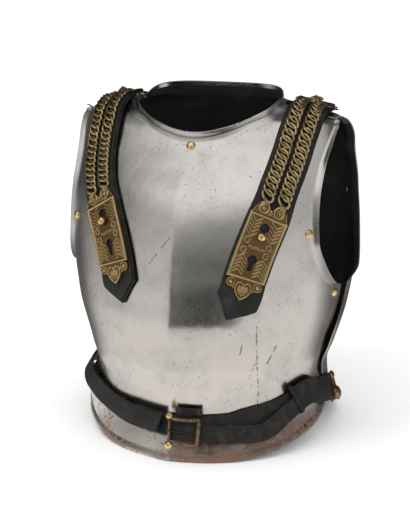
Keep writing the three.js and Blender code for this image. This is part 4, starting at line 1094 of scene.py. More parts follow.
def distance_at_x(run, x):
    """How far along the long strap x is reached, on its way to the front."""
    part = run.distance > run.length * 0.3
    return float(np.interp(-x, -run.line[part, 0], run.distance[part]))


def lay_keeper(run):
    """The leather loop that holds the long strap to its backing."""
    centre = distance_at_x(run, KEEPER_X)
    under, over = -LONG_STRAP_HALF - 0.5, LONG_STRAP_OVER + 2.6
    low, top = -BELT_LEATHER - 1, BELT_LEATHER + PLAY
    # Across and above: up beside the lower edge, over the strap and down again.
    path = [(under - 0.7, low), (under - 0.8, -0.5), (under - 0.6, top - 0.4), (under + 1.2, top + 0.75)]
    path += [(a, top + 0.9) for a in np.linspace(under + 4, over - 4, 7)]
    path += [(over - 1.2, top + 0.75), (over + 0.6, top - 0.4), (over + 0.8, 1.0), (over + 0.7, 0.2)]
    line = even_line(path, 1.2)
    normal = unit(np.stack([-np.gradient(line[:, 1]), np.gradient(line[:, 0])], -1))
    wide = KEEPER_WIDTH / 2
    section = np.array([(-wide, -0.4), (-wide + 0.4, -0.75), (wide - 0.4, -0.75), (wide, -0.4), (wide, 0.4),
                        (wide - 0.5, 0.78), (0, 0.9), (-wide + 0.5, 0.78), (-wide, 0.4)])
    rings = []
    for (a, h), (na, nh) in zip(line, normal):
        rings.append(run.place(centre + section[:, 0], a + na * section[:, 1], h + nh * section[:, 1]))
    count = len(rings[0])
    points = np.vstack(rings)
    faces = [tuple(f)[::-1] for f in grid_faces(len(rings), count, wrap=True)]
    faces += [tuple(range(count)), tuple(range(len(points) - count, len(points)))[::-1]]
    make_piece("belt_keeper_leather", points, faces, ["belt"], "leather", ["belt_keeper"])


def buckle_axes():
    """Middle of the buckle, with its directions across, up the belt and out."""
    run = Workshop.belts["long"]
    at = distance_at_x(run, BUCKLE_X)
    position, _, along, out = (part[0] for part in run.frames(at))
    return position, -along, np.cross(out, -along), out


def lay_buckle():
    position, across, along, out = buckle_axes()
    level = BELT_LEATHER + BUCKLE_LIFT + 1.4
    half_wide, half_tall = BUCKLE_WIDTH / 2, BUCKLE_OPENING / 2 + 1.4

    def spot(x, y, h):
        return position + across * x + along * y + out * h

    def upright_spot(y, h):
        """A place along the upright bar, which leans."""
        return spot(-half_wide - y * math.sin(BAR_LEAN), y * math.cos(BAR_LEAN), level + h)

    # Three sides of one bowed bar, its ends hammered round the upright.
    right = half_wide + 0.4
    top = [(-half_wide - 1.4 * math.sin(BAR_LEAN) * half_tall, half_tall, 0.4)]
    top += [(-half_wide * 0.5, half_tall - 1.5, 1.2), (0, half_tall - 1.9, 1.5)]
    top += [(half_wide * 0.55, half_tall - 1.2, 1.1), (right - 0.8, half_tall - 0.2, 0.3)]
    top.append((right, half_tall - 1.4, 0.1))
    side = [(right + 0.2, 6, 0), (right + 0.2, -6, 0)]
    foot = [(right, -half_tall + 1.2, 0.1), (right - 0.9, -half_tall + 0.1, 0.2)]
    foot += [(half_wide * 0.4, -half_tall, 0.7), (-half_wide * 0.4, -half_tall, 0.7)]
    foot.append((-half_wide + 0.6, -half_tall, 0.3))
    path = np.array([spot(x, y, level + h) for x, y, h in top + side + foot])
    smooth = Route(path, np.tile(out, (len(path), 1)))
    stations = np.linspace(0, smooth.length, 90)
    share = stations / smooth.length
    stout = np.interp(share, [0, 0.35, 0.42, 0.6, 0.66, 1], [2.0, 2.1, 2.6, 2.5, 1.4, 1.2])
    bar = tube(smooth.frames(stations)[0], stout, 14, up=out, flat=0.85)
    upright = [upright_spot(y, 0) for y in np.linspace(-half_tall - 1, half_tall + 1, 24)]
    lumps, finishes = [bar, tube(np.array(upright), BAR_RADIUS, 14, up=out)], [0, 0]
    for end, swell in ((-1, 1.1), (1, 0.94)):
        size = BALL_RADIUS * swell
        ball = lathe([(size * math.sin(t), -size * math.cos(t)) for t in np.linspace(0, math.pi, 15)], 28)
        lumps.append(set_down(ball, upright_spot(end * (half_tall + 2.4), 1.3), across, along, out))
        collar = [upright_spot(y, 0.2) for y in end * np.linspace(half_tall - 2.6, half_tall + 0.4, 6)]
        lumps.append(tube(np.array(collar), [2.2, 2.7, 2.9, 2.8, 2.6, 2.3], 14, up=out))
        finishes += [1, 0]
    slots = [finish for finish, lump in zip(finishes, lumps) for _ in lump[1]]
    metals = ["bronze", "brass_plain"]
    make_piece("buckle_frame_bars", *joined(lumps), metals, "brass", ["buckle_frame"], slots)
    # The tongue: a wire ring round the upright and a tapering bar whose point goes down into the hole.
    ring = np.array([spot(-half_wide + 2.7 * math.cos(t), 0, level + 2.7 * math.sin(t))
                     for t in np.linspace(0, 2 * np.pi, 28, endpoint=False)])
    tongue = [tube(ring, 1.15, 10, closed=True, up=along)]
    reach = np.linspace(2.6, TONGUE_REACH, 30)
    dip = 1.9 * smooth_step((reach - TONGUE_REACH + 4) / 4)
    height = BELT_LEATHER + 1.0 - dip + 1.8 * smooth_step(1 - reach / 9)
    bar_line = np.array([spot(r - half_wide, -0.4, h) for r, h in zip(reach, height)])
    taper = np.interp(reach, [2, 20, TONGUE_REACH], [1.0, 0.85, 0.6])
    tongue.append(tube(bar_line, taper, 10, up=out))
    make_piece("buckle_tongue_wire", *joined(tongue), ["dark_metal"], "copper", ["buckle_tongue"])


def lay_belt_plates():
    """The lobed plates riveted through the ends of the belt on the backplate."""
    large_radius, small_radius, base = 9.9, 5.4, 1.0
    for name, key in (("left", "long"), ("right", "buckle")):
        run = Workshop.belts[key]
        position, across, along, out = route_frame(run, BELT_RIVET_AT)
        upward = 1 if across[2] > 0 else -1
        large, small = BELT_LOBES[name]
        seat = BELT_LEATHER + 3.5 * PLAY
        columns = rows = 61
        u, v = np.meshgrid(np.linspace(0, 1, columns), np.linspace(-1, 1, rows))
        # x runs up the plate; a waist separates the large lobe from the small one.
        x = large - 9.6 + (small + 5.2 - large + 9.6) * u
        wide = np.sqrt(np.clip(1 - ((x - large) / large_radius) ** 2, 0, None)) * 9.6
        wide = np.maximum(wide, np.sqrt(np.clip(1 - ((x - small) / small_radius) ** 2, 0, None)) * 5.6)
        wide = np.maximum(wide, np.where((x > large) & (x < small), 4.4, 0.6))
        y = v * wide
        high_dome = 4.6 * np.sqrt(np.clip(1 - (np.hypot(x - large, y) / 8.4) ** 2, 0, None))
        low_dome = 2.6 * np.sqrt(np.clip(1 - (np.hypot(x - small, y) / 4.6) ** 2, 0, None))
        height = base + np.maximum(high_dome, low_dome)
        height -= 0.9 * np.clip((np.abs(v) - 0.94) / 0.06, 0, 1)
        spots = np.stack([(upward * x).ravel(), y.ravel(), (seat + height).ravel()], -1)
        under = spots * [1, 1, 0] + [0, 0, seat]
        foot = -inner_depth(run, BELT_RIVET_AT) - PLAY
        pin = lathe([*burr(foot, 1.2), (SHANK_RADIUS, seat + 1), (0, seat + 1)], 20)
        lump = joined([thick_sheet(spots, under, rows, columns, upward < 0), pin])
        points, faces = set_down(lump, position, across, along, out)
        make_piece("lobed_belt_plate_" + name, points, faces, ["copper"], "copper", ["belt_plate_" + name])


# ---- shader tools ----
class Tree:
    """Short ways of making and joining shader nodes."""

    def __init__(self, tree):
        self.tree = tree
        self.column = 0

    def add(self, kind, inputs=None, **settings):
        node = self.tree.nodes.new(kind)
        self.column += 1
        node.location = (180 * (self.column % 9), -220 * (self.column // 9))
        for key, value in settings.items():
            setattr(node, key, value)
        for key, value in (inputs or {}).items():
            self.feed(node.inputs[key], value)
        return node

    def feed(self, socket, value):
        if isinstance(value, bpy.types.NodeSocket):
            self.tree.links.new(value, socket)
        elif isinstance(value, bpy.types.Node):
            self.tree.links.new(value.outputs[0], socket)
        else:
            socket.default_value = value

    def math(self, operation, a, b=0.0, c=None, clamp=False):
        node = self.add("ShaderNodeMath", operation=operation, use_clamp=clamp)
        for socket, value in zip(node.inputs, (a, b, c)):
            if value is not None:
                self.feed(socket, value)
        return node.outputs[0]

    def vector_math(self, operation, a, b):
        return self.add("ShaderNodeVectorMath", {0: a, 1: b}, operation=operation).outputs

    def noise(self, vector, scale, detail=3.0, roughness=0.5):
        inputs = {"Vector": vector, "Scale": scale, "Detail": detail, "Roughness": roughness}
        return self.add("ShaderNodeTexNoise", inputs).outputs["Fac"]

    def ramp(self, value, low, high, out_low=0.0, out_high=1.0):
        """Softly from out_low at low to out_high at high, whichever of low and high is the larger."""
        inputs = {"Value": value, "From Min": low, "From Max": high, "To Min": out_low, "To Max": out_high}
        node = self.add("ShaderNodeMapRange", inputs)
        node.interpolation_type = "SMOOTHSTEP"
        return node.outputs[0]

    def mix(self, share, a, b):
        node = self.add("ShaderNodeMix", data_type="RGBA")
        self.feed(node.inputs[0], share)
        self.feed(node.inputs[6], a)
        self.feed(node.inputs[7], b)
        return node.outputs[2]

    def stretched(self, vector, scale, turn=(0, 0, 0)):
        return self.add("ShaderNodeMapping", {"Vector": vector, "Scale": scale, "Rotation": turn}).outputs[0]


def rgb(color):
    return (*color[:3], 1.0)


def effect_group(name, inputs, outputs):
    """An empty node group with named sockets: its tools, its inputs and its output sockets."""
    group = bpy.data.node_groups.new(name, "ShaderNodeTree")
    for label, kind, value in inputs:
        socket = group.interface.new_socket(label, in_out="INPUT", socket_type="NodeSocket" + kind)
        if value is not None:
            socket.default_value = value
    for label, kind in outputs:
        group.interface.new_socket(label, in_out="OUTPUT", socket_type="NodeSocket" + kind)
    tree = Tree(group)
    return group, tree, tree.add("NodeGroupInput").outputs, tree.add("NodeGroupOutput").inputs


def pitting_group():
    """Small round rust pits, thick in patches."""
    group, tree, given, out = effect_group(
        "Pitting",
        [("Vector", "Vector", None), ("Scale", "Float", 400.0), ("Amount", "Float", 0.3),
         ("Patch Scale", "Float", 18.0)],
        [("Mask", "Float"), ("Height", "Float")])
    cells = tree.add("ShaderNodeTexVoronoi", {"Vector": given["Vector"], "Scale": given["Scale"]})
    patch = tree.noise(given["Vector"], given["Patch Scale"], 4.0, 0.6)
    limit = tree.math("MULTIPLY", tree.ramp(patch, 0.42, 0.72), given["Amount"])
    chance, size, _ = tree.add("ShaderNodeSeparateColor", {"Color": cells.outputs["Color"]}).outputs[:3]
    chosen = tree.math("LESS_THAN", chance, limit)
    reach = tree.math("MULTIPLY_ADD", size, 0.28, 0.1)
    share = tree.math("DIVIDE", cells.outputs["Distance"], reach)
    near = tree.math("SUBTRACT", 1.0, share, clamp=True)
    mask = tree.math("MULTIPLY", tree.ramp(near, 0.0, 0.6), chosen)
    tree.feed(out["Mask"], mask)
    tree.feed(out["Height"], tree.math("SUBTRACT", 1.0, mask))
    return group


def stain_group():
    """Soft cloudy patches with ragged edges."""
    group, tree, given, out = effect_group(
        "Stains",
        [("Vector", "Vector", None), ("Scale", "Float", 20.0), ("Cover", "Float", 0.5),
         ("Softness", "Float", 0.12)],
        [("Mask", "Float")])
    wide = tree.noise(given["Vector"], given["Scale"], 6.0, 0.65)
    low = tree.math("SUBTRACT", 1.0, given["Cover"])
    high = tree.math("ADD", low, given["Softness"])
    tree.feed(out["Mask"], tree.ramp(wide, low, high))
    return group


def rubbing_group():
    """Fine polishing marks along one direction."""
    group, tree, given, out = effect_group(
        "Rubbing Marks", [("Vector", "Vector", None), ("Fineness", "Float", 300.0)], [("Fine", "Float")])
    drawn_out = tree.stretched(given["Vector"], (1.0, 1.0, 0.05))
    tree.feed(out["Fine"], tree.noise(drawn_out, given["Fineness"], 2.0, 0.6))
    return group


def scratch_group():
    """One straight scratch between two points of the front, broken into dashes."""
    group, tree, given, out = effect_group(
        "Scratch",
        [("Vector", "Vector", None), ("Start", "Vector", None), ("End", "Vector", None),
         ("Width", "Float", 0.0005), ("Broken", "Float", 0.4)],
        [("Mask", "Float")])
    front = tree.vector_math("MULTIPLY", given["Vector"], (1, 0, 1))[0]
    run = tree.vector_math("SUBTRACT", given["End"], given["Start"])[0]
    offset = tree.vector_math("SUBTRACT", front, given["Start"])[0]
    along = tree.vector_math("DOT_PRODUCT", offset, run)["Value"]
    whole = tree.vector_math("DOT_PRODUCT", run, run)["Value"]
    share = tree.math("DIVIDE", along, whole, clamp=True)
    foot = tree.add("ShaderNodeVectorMath", {0: run, "Scale": share}, operation="SCALE").outputs[0]
    gap = tree.vector_math("DISTANCE", offset, foot)["Value"]
    wander = tree.math("MULTIPLY_ADD", tree.noise(given["Vector"], 420.0, 2.0, 0.6), 0.0012, -0.0006)
    line = tree.ramp(tree.math("DIVIDE", tree.math("ADD", gap, wander), given["Width"]), 1.0, 0.3)
    breaks = tree.noise(given["Vector"], 260.0, 2.0, 0.5)
    dashes = tree.ramp(breaks, given["Broken"], tree.math("ADD", given["Broken"], 0.12))
    depth = tree.add("ShaderNodeSeparateXYZ", {"Vector": given["Vector"]}).outputs[1]
    ahead = tree.math("LESS_THAN", depth, 0.0)
    tree.feed(out["Mask"], tree.math("MULTIPLY", tree.math("MULTIPLY", line, dashes), ahead))
    return group


def new_material(name):
    material = bpy.data.materials.new(name)
    material.use_nodes = True
    material.node_tree.nodes.clear()
    tree = Tree(material.node_tree)
    shader = tree.add("ShaderNodeBsdfPrincipled")
    tree.add("ShaderNodeOutputMaterial", {"Surface": shader})
    place = tree.add("ShaderNodeTexCoord").outputs["Object"]
    return material, tree, shader, place


def grouped(tree, group, **inputs):
    node = tree.add("ShaderNodeGroup")
    node.node_tree = group
    for key, value in inputs.items():
        tree.feed(node.inputs[key.replace("_", " ")], value)
    return node


def bump(tree, shader, height, strength, distance):
    node = tree.add("ShaderNodeBump", {"Height": height, "Strength": strength, "Distance": distance})
    tree.feed(shader.inputs["Normal"], node.outputs[0])


def scratches_of(tree, group, place):
    """All the scratches of the breastplate as one mask."""
    marks = 0.0
    for start, end, wide, broken in SCRATCHES:
        first, last = [(x / 1000, 0, z / 1000) for x, z in (start, end)]
        mark = grouped(tree, group, Vector=place, Start=first, End=last, Width=wide / 1000, Broken=broken)
        marks = tree.math("MAXIMUM", marks, mark.outputs["Mask"])
    return marks


def rust_of(tree, place, height, low):
    """Speckled rust on the flange, thickest along its rim: its share and its speckle."""
    speckle = tree.noise(place, 210.0, 8.0, 0.78)
    patch = tree.noise(place, 16.0, 3.0, 0.5)
    rim = tree.ramp(height, 0.012, 0.004)
    limit = tree.math("MULTIPLY_ADD", rim, -0.09, tree.ramp(patch, 0.36, 0.62, 0.61, 0.46))
    rust = tree.ramp(tree.math("SUBTRACT", speckle, limit), 0.0, 0.05)
    return tree.math("MULTIPLY", tree.math("MULTIPLY", rust, low), 0.9), speckle


def steel_material(groups, colors):
    material, tree, shader, place = new_material("Polished steel")
    stains, pitting = groups["stains"], groups["pitting"]
    pits = grouped(tree, pitting, Vector=place, Scale=330.0, Amount=0.44, Patch_Scale=15.0).outputs["Mask"]
    fine_pits = grouped(tree, pitting, Vector=place, Scale=800.0, Amount=0.5, Patch_Scale=28.0)
    fine_pits = fine_pits.outputs["Mask"]
    fine = grouped(tree, groups["rubbing"], Vector=place, Fineness=260.0).outputs["Fine"]
    cloud = grouped(tree, stains, Vector=place, Scale=15.0, Cover=0.56, Softness=0.3).outputs["Mask"]
    mottle = grouped(tree, stains, Vector=place, Scale=55.0, Cover=0.55, Softness=0.35).outputs["Mask"]
    tarnish = grouped(tree, stains, Vector=place, Scale=22.0, Cover=0.62, Softness=0.3).outputs["Mask"]
    sideways, _, height = tree.add("ShaderNodeSeparateXYZ", {"Vector": place}).outputs[:3]
    groove_shade = tree.add("ShaderNodeAttribute", attribute_name="relief").outputs["Fac"]
    # Painted reflection: the lower steel is tinted warm, towards the colour of the warm floor it reflects.
    low_floor_reflection = tree.ramp(height, 0.26, 0.10)
    base = tree.mix(low_floor_reflection, rgb(colors.steel), (0.62, 0.575, 0.53, 1))
    base = tree.mix(tree.math("MULTIPLY", cloud, 0.5), base, (0.42, 0.41, 0.40, 1))
    base = tree.mix(tree.math("MULTIPLY", mottle, 0.28), base, (0.36, 0.34, 0.325, 1))
    base = tree.mix(tree.math("MULTIPLY", fine, 0.15), base, (0.40, 0.39, 0.38, 1))
    # Brown tarnish dulls the flange, mostly on the wearer's left, and the plates' side edges are darkened
    # below. The flange's darkening is partly painted light: painted shade and dark reflection towards the
    # wearer's left, and the flange is left nearly clean on the wearer's right as a painted highlight.
    low = tree.ramp(height, 0.050, 0.022)
    flange_tarnish_and_shade = tree.math("MULTIPLY", low, tree.math("MULTIPLY_ADD", tarnish, 0.5, 0.35))
    flange_tarnish_and_shade = tree.math("MULTIPLY", flange_tarnish_and_shade, tree.ramp(sideways, -0.02, 0.045, 0.05, 1.35))
    base = tree.mix(flange_tarnish_and_shade, base, (0.20, 0.16, 0.13, 1))
    # Painted shade with some rust: the side edges and arm lips of both plates are darkened nearly to black
    # and made less metallic. This stands in for the shadow line along the lips.
    sides = tree.ramp(tree.math("ABSOLUTE", sideways), 0.152, 0.167)
    sides = tree.math("MULTIPLY", sides, tree.ramp(height, 0.07, 0.14))
    side_tarnish_and_shade = tree.math("MULTIPLY", sides, tree.math("MULTIPLY_ADD", tarnish, 0.25, 0.65))
    base = tree.mix(side_tarnish_and_shade, base, (0.065, 0.052, 0.042, 1))
    # Painted shade: the steel's colour is darker in the groove inside each plate's rim.
    base = tree.mix(tree.math("MULTIPLY", groove_shade, 0.75), base, (0.10, 0.085, 0.075, 1))
    rust, speckle = rust_of(tree, place, height, low)
    base = tree.mix(rust, base, rgb(colors.rust))
    spots = tree.math("MAXIMUM", tree.math("MULTIPLY", pits, 0.8), tree.math("MULTIPLY", fine_pits, 0.6))
    base = tree.mix(spots, base, (0.06, 0.048, 0.04, 1))
    scratches = scratches_of(tree, groups["scratch"], place)
    base = tree.mix(tree.math("MULTIPLY", scratches, 0.8), base, (0.09, 0.075, 0.065, 1))
    tree.feed(shader.inputs["Base Color"], base)
    rough = tree.math("MULTIPLY_ADD", fine, 0.08, 0.19)
    for share, extra in ((cloud, 0.08), (rust, 0.35), (flange_tarnish_and_shade, 0.12), (spots, 0.3)):
        rough = tree.math("MULTIPLY_ADD", share, extra, rough, clamp=True)
    tree.feed(shader.inputs["Roughness"], rough)
    bare = tree.math("SUBTRACT", 1.0, tree.math("MULTIPLY", rust, 0.6))
    tree.feed(shader.inputs["Metallic"], tree.math("MULTIPLY_ADD", sides, -0.4, bare, clamp=True))
    dents = tree.noise(place, 42.0, 2.0, 0.5)
    surface = tree.math("MULTIPLY_ADD", dents, 1.6, tree.math("MULTIPLY", fine, 0.05))
    surface = tree.math("SUBTRACT", surface, tree.math("MULTIPLY", spots, 0.30))
    surface = tree.math("SUBTRACT", surface, tree.math("MULTIPLY", scratches, 0.25))
    surface = tree.math("MULTIPLY_ADD", tree.math("MULTIPLY", rust, speckle), 0.4, surface)
    bump(tree, shader, surface, 0.5, 0.0006)
    return material


def inside_material(groups, colors):
    # Near black: partly a dark inner finish, partly painted shade for the shadowed inside of the shell.
    material, tree, shader, place = new_material("Dark and shaded steel inside")
    cloud = grouped(tree, groups["stains"], Vector=place, Scale=22.0, Cover=0.52, Softness=0.25)
    pits = grouped(tree, groups["pitting"], Vector=place, Scale=500.0, Amount=0.6, Patch_Scale=30.0)
    base = tree.mix(cloud.outputs["Mask"], rgb(colors.inside), (0.030, 0.026, 0.022, 1))
    tree.feed(shader.inputs["Base Color"], tree.mix(pits.outputs["Mask"], base, (0.05, 0.032, 0.02, 1)))
    tree.feed(shader.inputs["Roughness"], tree.math("MULTIPLY_ADD", cloud.outputs["Mask"], 0.15, 0.6))
    shader.inputs["Metallic"].default_value = 0.0
    shader.inputs["Specular IOR Level"].default_value = 0.2
    bump(tree, shader, tree.noise(place, 700.0, 4.0, 0.6), 0.3, 0.0004)
    return material


def brass_material(groups, name, bright, dark, rough, grain, cast=False):
    """Old brass, worn bright in patches; cast work is bright on its relief and dark in its hollows."""
    material, tree, shader, place = new_material(name)
    cloud = grouped(tree, groups["stains"], Vector=place, Scale=120.0, Cover=0.5, Softness=0.25)
    pits = grouped(tree, groups["pitting"], Vector=place, Scale=1100.0, Amount=0.5, Patch_Scale=90.0)
    if cast:
        relief = tree.add("ShaderNodeAttribute", attribute_name="relief").outputs["Fac"]
        ragged = tree.math("MULTIPLY_ADD", tree.noise(place, 400.0, 3.0, 0.6), 0.5, relief)
        worn = tree.ramp(ragged, 0.3, 0.95)
    else:
        worn = tree.ramp(tree.noise(place, 160.0, 3.0, 0.6), 0.3, 0.6)
    base = tree.mix(worn, rgb(dark), rgb(bright))
    base = tree.mix(tree.math("MULTIPLY", cloud.outputs["Mask"], 0.35), base, rgb(dark))
    base = tree.mix(tree.math("MULTIPLY", pits.outputs["Mask"], 0.5), base, (0.05, 0.03, 0.015, 1))
    tree.feed(shader.inputs["Base Color"], base)
    tree.feed(shader.inputs["Roughness"], tree.math("MULTIPLY_ADD", worn, -0.14, rough + 0.12))
    shader.inputs["Metallic"].default_value = 1.0
    surface = tree.math("SUBTRACT", tree.noise(place, 900.0, 3.0, 0.6), pits.outputs["Mask"])
    bump(tree, shader, surface, grain, 0.0003)
    return material


def leather_material(groups, name, color, wear):
    material, tree, shader, place = new_material(name)
    cells = tree.add("ShaderNodeTexVoronoi", {"Vector": place, "Scale": 900.0}, feature="DISTANCE_TO_EDGE")
    creases = cells.outputs["Distance"]
    dust = grouped(tree, groups["stains"], Vector=place, Scale=60.0, Cover=0.55, Softness=0.3).outputs["Mask"]
    grain = tree.noise(place, 600.0, 5.0, 0.65)
    # Rubbed brown where the band has flexed.
    flexed = tree.ramp(tree.noise(place, 38.0, 5.0, 0.7), 0.5, 0.72)
    base = tree.mix(tree.math("MULTIPLY", dust, wear), color, (0.050, 0.047, 0.042, 1))
    base = tree.mix(tree.math("MULTIPLY", flexed, wear), base, (0.055, 0.043, 0.034, 1))
    base = tree.mix(tree.math("MULTIPLY", grain, 0.35), base, (0.010, 0.010, 0.009, 1))
    tree.feed(shader.inputs["Base Color"], base)
    tree.feed(shader.inputs["Roughness"], tree.math("MULTIPLY_ADD", dust, 0.18, 0.55))
    shader.inputs["Specular IOR Level"].default_value = 0.22
    surface = tree.math("MULTIPLY_ADD", tree.ramp(creases, 0.0, 0.12), 0.5, grain)
    bump(tree, shader, surface, 0.4, 0.0004)
    return material


def thread_material():
    material, tree, shader, place = new_material("Waxed thread")
    color = tree.mix(tree.noise(place, 900.0), (0.12, 0.115, 0.10, 1), (0.06, 0.056, 0.05, 1))
    tree.feed(shader.inputs["Base Color"], color)
    tree.feed(shader.inputs["Roughness"], tree.math("MULTIPLY_ADD", tree.noise(place, 700.0), 0.2, 0.6))
    return material


def make_materials(colors):
    groups = {"pitting": pitting_group(), "stains": stain_group(), "rubbing": rubbing_group(),
              "scratch": scratch_group()}
    made = Workshop.materials
    made["steel"] = steel_material(groups, colors)
    made["inside"] = inside_material(groups, colors)
    # Bright colour, dark colour, roughness, strength of the grain.
    brasses = {
        "brass": ("Cast brass, aged", colors.brass, (0.19, 0.115, 0.052), 0.32, 0.3, True),
        "brass_plain": ("Brass heads", (0.80, 0.62, 0.30), (0.50, 0.36, 0.16), 0.22, 0.15),
        "chain": ("Chain brass, dark", colors.chain, (0.20, 0.15, 0.075), 0.28, 0.3),
        "bronze": ("Buckle bronze", (0.30, 0.205, 0.115), (0.13, 0.085, 0.05), 0.32, 0.2),
        "copper": ("Dull copper", (0.36, 0.19, 0.10), (0.13, 0.065, 0.035), 0.36, 0.4),
        "dark_metal": ("Dark iron wire", (0.09, 0.065, 0.045), (0.04, 0.03, 0.024), 0.4, 0.3),
    }
    for key, finish in brasses.items():
        made[key] = brass_material(groups, *finish)
    made["leather"] = leather_material(groups, "Strap leather", rgb(colors.leather), 0.45)
    made["belt"] = leather_material(groups, "Belt leather", rgb(colors.leather), 0.55)
    made["thread"] = thread_material()


# ---- stage ----
def stage_piece(name, points, faces, color, rough=0.6):
    mesh = bpy.data.meshes.new(name)
    mesh.from_pydata(points, [], faces)
    mesh.polygons.foreach_set("use_smooth", [True] * len(mesh.polygons))
    material = bpy.data.materials.new(name)
    material.use_nodes = True
    shader = material.node_tree.nodes["Principled BSDF"]
    shader.inputs["Base Color"].default_value = (*color, 1)
    shader.inputs["Roughness"].default_value = rough
    shader.inputs["Specular IOR Level"].default_value = 0.1
    mesh.materials.append(material)
    piece = bpy.data.objects.new(name, mesh)
    bpy.context.scene.collection.objects.link(piece)
    return piece


def studio_dome(centre, radius):
    """Points and faces of a dome round centre, with a skirt that runs inward just above the floor."""
    turns = np.linspace(0, 2 * np.pi, 48, endpoint=False)
    floor_line = math.degrees(math.asin(centre[2] / radius))
    skirt = [-40, -34, -28, -23, -19, -16]
    rings = []
    for t in np.radians(np.concatenate([skirt, np.linspace(-floor_line, 89, 26)])):
        above_floor = t > -math.radians(floor_line) - 0.001
        far = radius if above_floor else (centre[2] - 0.0005) / math.sin(-t)
        flat = far * math.cos(t)
        rings.append((flat * np.sin(turns), -flat * np.cos(turns), far * math.sin(t)))
    points = [(centre[0] + x, centre[1] + y, centre[2] + z) for xs, ys, z in rings for x, y in zip(xs, ys)]
    return points, grid_faces(len(rings), len(turns), wrap=True)


def dome_angles(tree, centre):
    """Where a point of the dome lies, in degrees: round from the front, and up from the level."""
    place = tree.add("ShaderNodeTexCoord").outputs["Object"]
    place = tree.vector_math("SUBTRACT", place, tuple(centre))[0]
    place = tree.add("ShaderNodeVectorMath", {0: place}, operation="NORMALIZE").outputs[0]
    x, y, z = tree.add("ShaderNodeSeparateXYZ", {"Vector": place}).outputs[:3]
    round_way = tree.math("ARCTAN2", x, tree.math("MULTIPLY", y, -1.0))
    round_way = tree.math("MULTIPLY", round_way, 180 / math.pi)
    return round_way, tree.math("MULTIPLY", tree.math("ARCSINE", z), 180 / math.pi)


def dome_brightness(tree, round_way, upward, studio):
    def both(*masks):
        return masks[0] if len(masks) == 1 else tree.math("MULTIPLY", masks[0], both(*masks[1:]))

    def blend(share, a, b):
        return tree.math("MULTIPLY_ADD", share, tree.math("SUBTRACT", b, a), a)

    off_front = tree.math("ABSOLUTE", tree.math("SUBTRACT", round_way, 14.0))
    walls = blend(tree.ramp(off_front, 82.0, 50.0), studio.behind, studio.walls)
    sector = both(tree.ramp(round_way, 60.0, 20.0), tree.ramp(round_way, -95.0, -55.0))
    above = both(tree.ramp(upward, 30.0, 52.0), sector)
    walls = tree.math("MULTIPLY_ADD", above, studio.above, walls)
    ground = blend(tree.ramp(off_front, 122.0, 82.0), studio.behind * 1.6, studio.ground)
    # The floor glows softly up the foot of the walls, and fully on the skirt.
    level = blend(tree.math("MULTIPLY", tree.ramp(upward, 16.0, -14.0), 0.75), walls, ground)
    level = blend(tree.ramp(upward, -13.9, -14.9), level, ground)
    # One dark panel on the wearer's-left front, dimmer towards its top.
    top = tree.math("MULTIPLY", tree.ramp(upward, 42.0, 20.0), 0.55)
    deeper = tree.math("MULTIPLY_ADD", tree.ramp(upward, 20.0, -6.0), 0.45, top)
    width = both(tree.ramp(round_way, -9.0, -5.0), tree.ramp(round_way, 33.0, 30.0))
    panel = both(width, deeper, tree.ramp(upward, -19.0, -18.2))
    return blend(panel, level, tree.math("MULTIPLY", level, studio.panel))


def surroundings(studio, centre, radius):
    """A dome seen only in reflections: grey walls in front, dark ones behind, one dark panel."""
    dome = stage_piece("studio_walls", *studio_dome(centre, radius), (0.5, 0.5, 0.5))
    dome.data.materials[0].node_tree.nodes.clear()
    tree = Tree(dome.data.materials[0].node_tree)
    level = dome_brightness(tree, *dome_angles(tree, centre), studio)
    glow = tree.add("ShaderNodeEmission", {"Color": (1.0, 0.995, 0.985, 1), "Strength": level})
    tree.add("ShaderNodeOutputMaterial", {"Surface": glow})
    dome.visible_camera = False
    dome.visible_diffuse = False
    dome.visible_shadow = False


def soft_light(name, location, size, power):
    """A square light aimed at the middle of the cuirass; it doesn't show in reflections."""
    data = bpy.data.lights.new(name, "AREA")
    data.shape = "RECTANGLE"
    data.size = size
    data.size_y = size
    data.energy = power
    light = bpy.data.objects.new(name, data)
    light.location = location
    light.rotation_euler = (Vector((0, 0, 0.2)) - Vector(location)).to_track_quat("-Z", "Y").to_euler()
    light.visible_glossy = False
    bpy.context.scene.collection.objects.link(light)


def set_stage(studio):
    corners = [(-9, -9, 0), (9, -9, 0), (9, 9, 0), (-9, 9, 0)]
    stage_piece("studio_floor", corners, [(0, 1, 2, 3)], (0.97, 0.97, 0.97), 0.8)
    world = bpy.data.worlds.new("Studio air")
    bpy.context.scene.world = world
    world.use_nodes = True
    sky = world.node_tree.nodes["Background"]
    sky.inputs["Color"].default_value = (1, 1, 1, 1)
    sky.inputs["Strength"].default_value = studio.air
    soft_light("key_left", (-1.6, -1.6, 2.0), 1.4, studio.key)
    soft_light("fill_right", (2.2, -1.0, 1.5), 1.2, studio.fill)
    surroundings(studio, Vector((0, 0, 0.21)), 0.85)
    camera_data = bpy.data.cameras.new("camera")
    camera_data.sensor_fit = "AUTO"
    camera_data.sensor_width = 36
    camera_data.lens = studio.lens
    camera = bpy.data.objects.new("camera", camera_data)
    target = Vector((-0.0044, -0.0016 + 0.0083, 0.2121))
    flat = math.cos(studio.elevation)
    back_way = Vector((math.sin(studio.azimuth) * flat, -math.cos(studio.azimuth) * flat,
                       math.sin(studio.elevation)))
    camera.location = target + back_way * studio.distance
    camera.rotation_euler = (-back_way).to_track_quat("-Z", "Y").to_euler()
    bpy.context.scene.collection.objects.link(camera)
    bpy.context.scene.camera = camera
    bpy.context.scene.view_settings.view_transform = "Standard"


# ---- what a user may change ----
def a_length(name, text, default, low, high):
    return FloatProperty(name=name, description=text, default=default, min=low, max=high, unit="LENGTH")


def an_angle(name, text, degrees):
    return FloatProperty(name=name, description=text, default=math.radians(degrees), unit="ROTATION")


def an_amount(name, text, default, low, high):
    return FloatProperty(name=name, description=text, default=default, min=low, max=high)


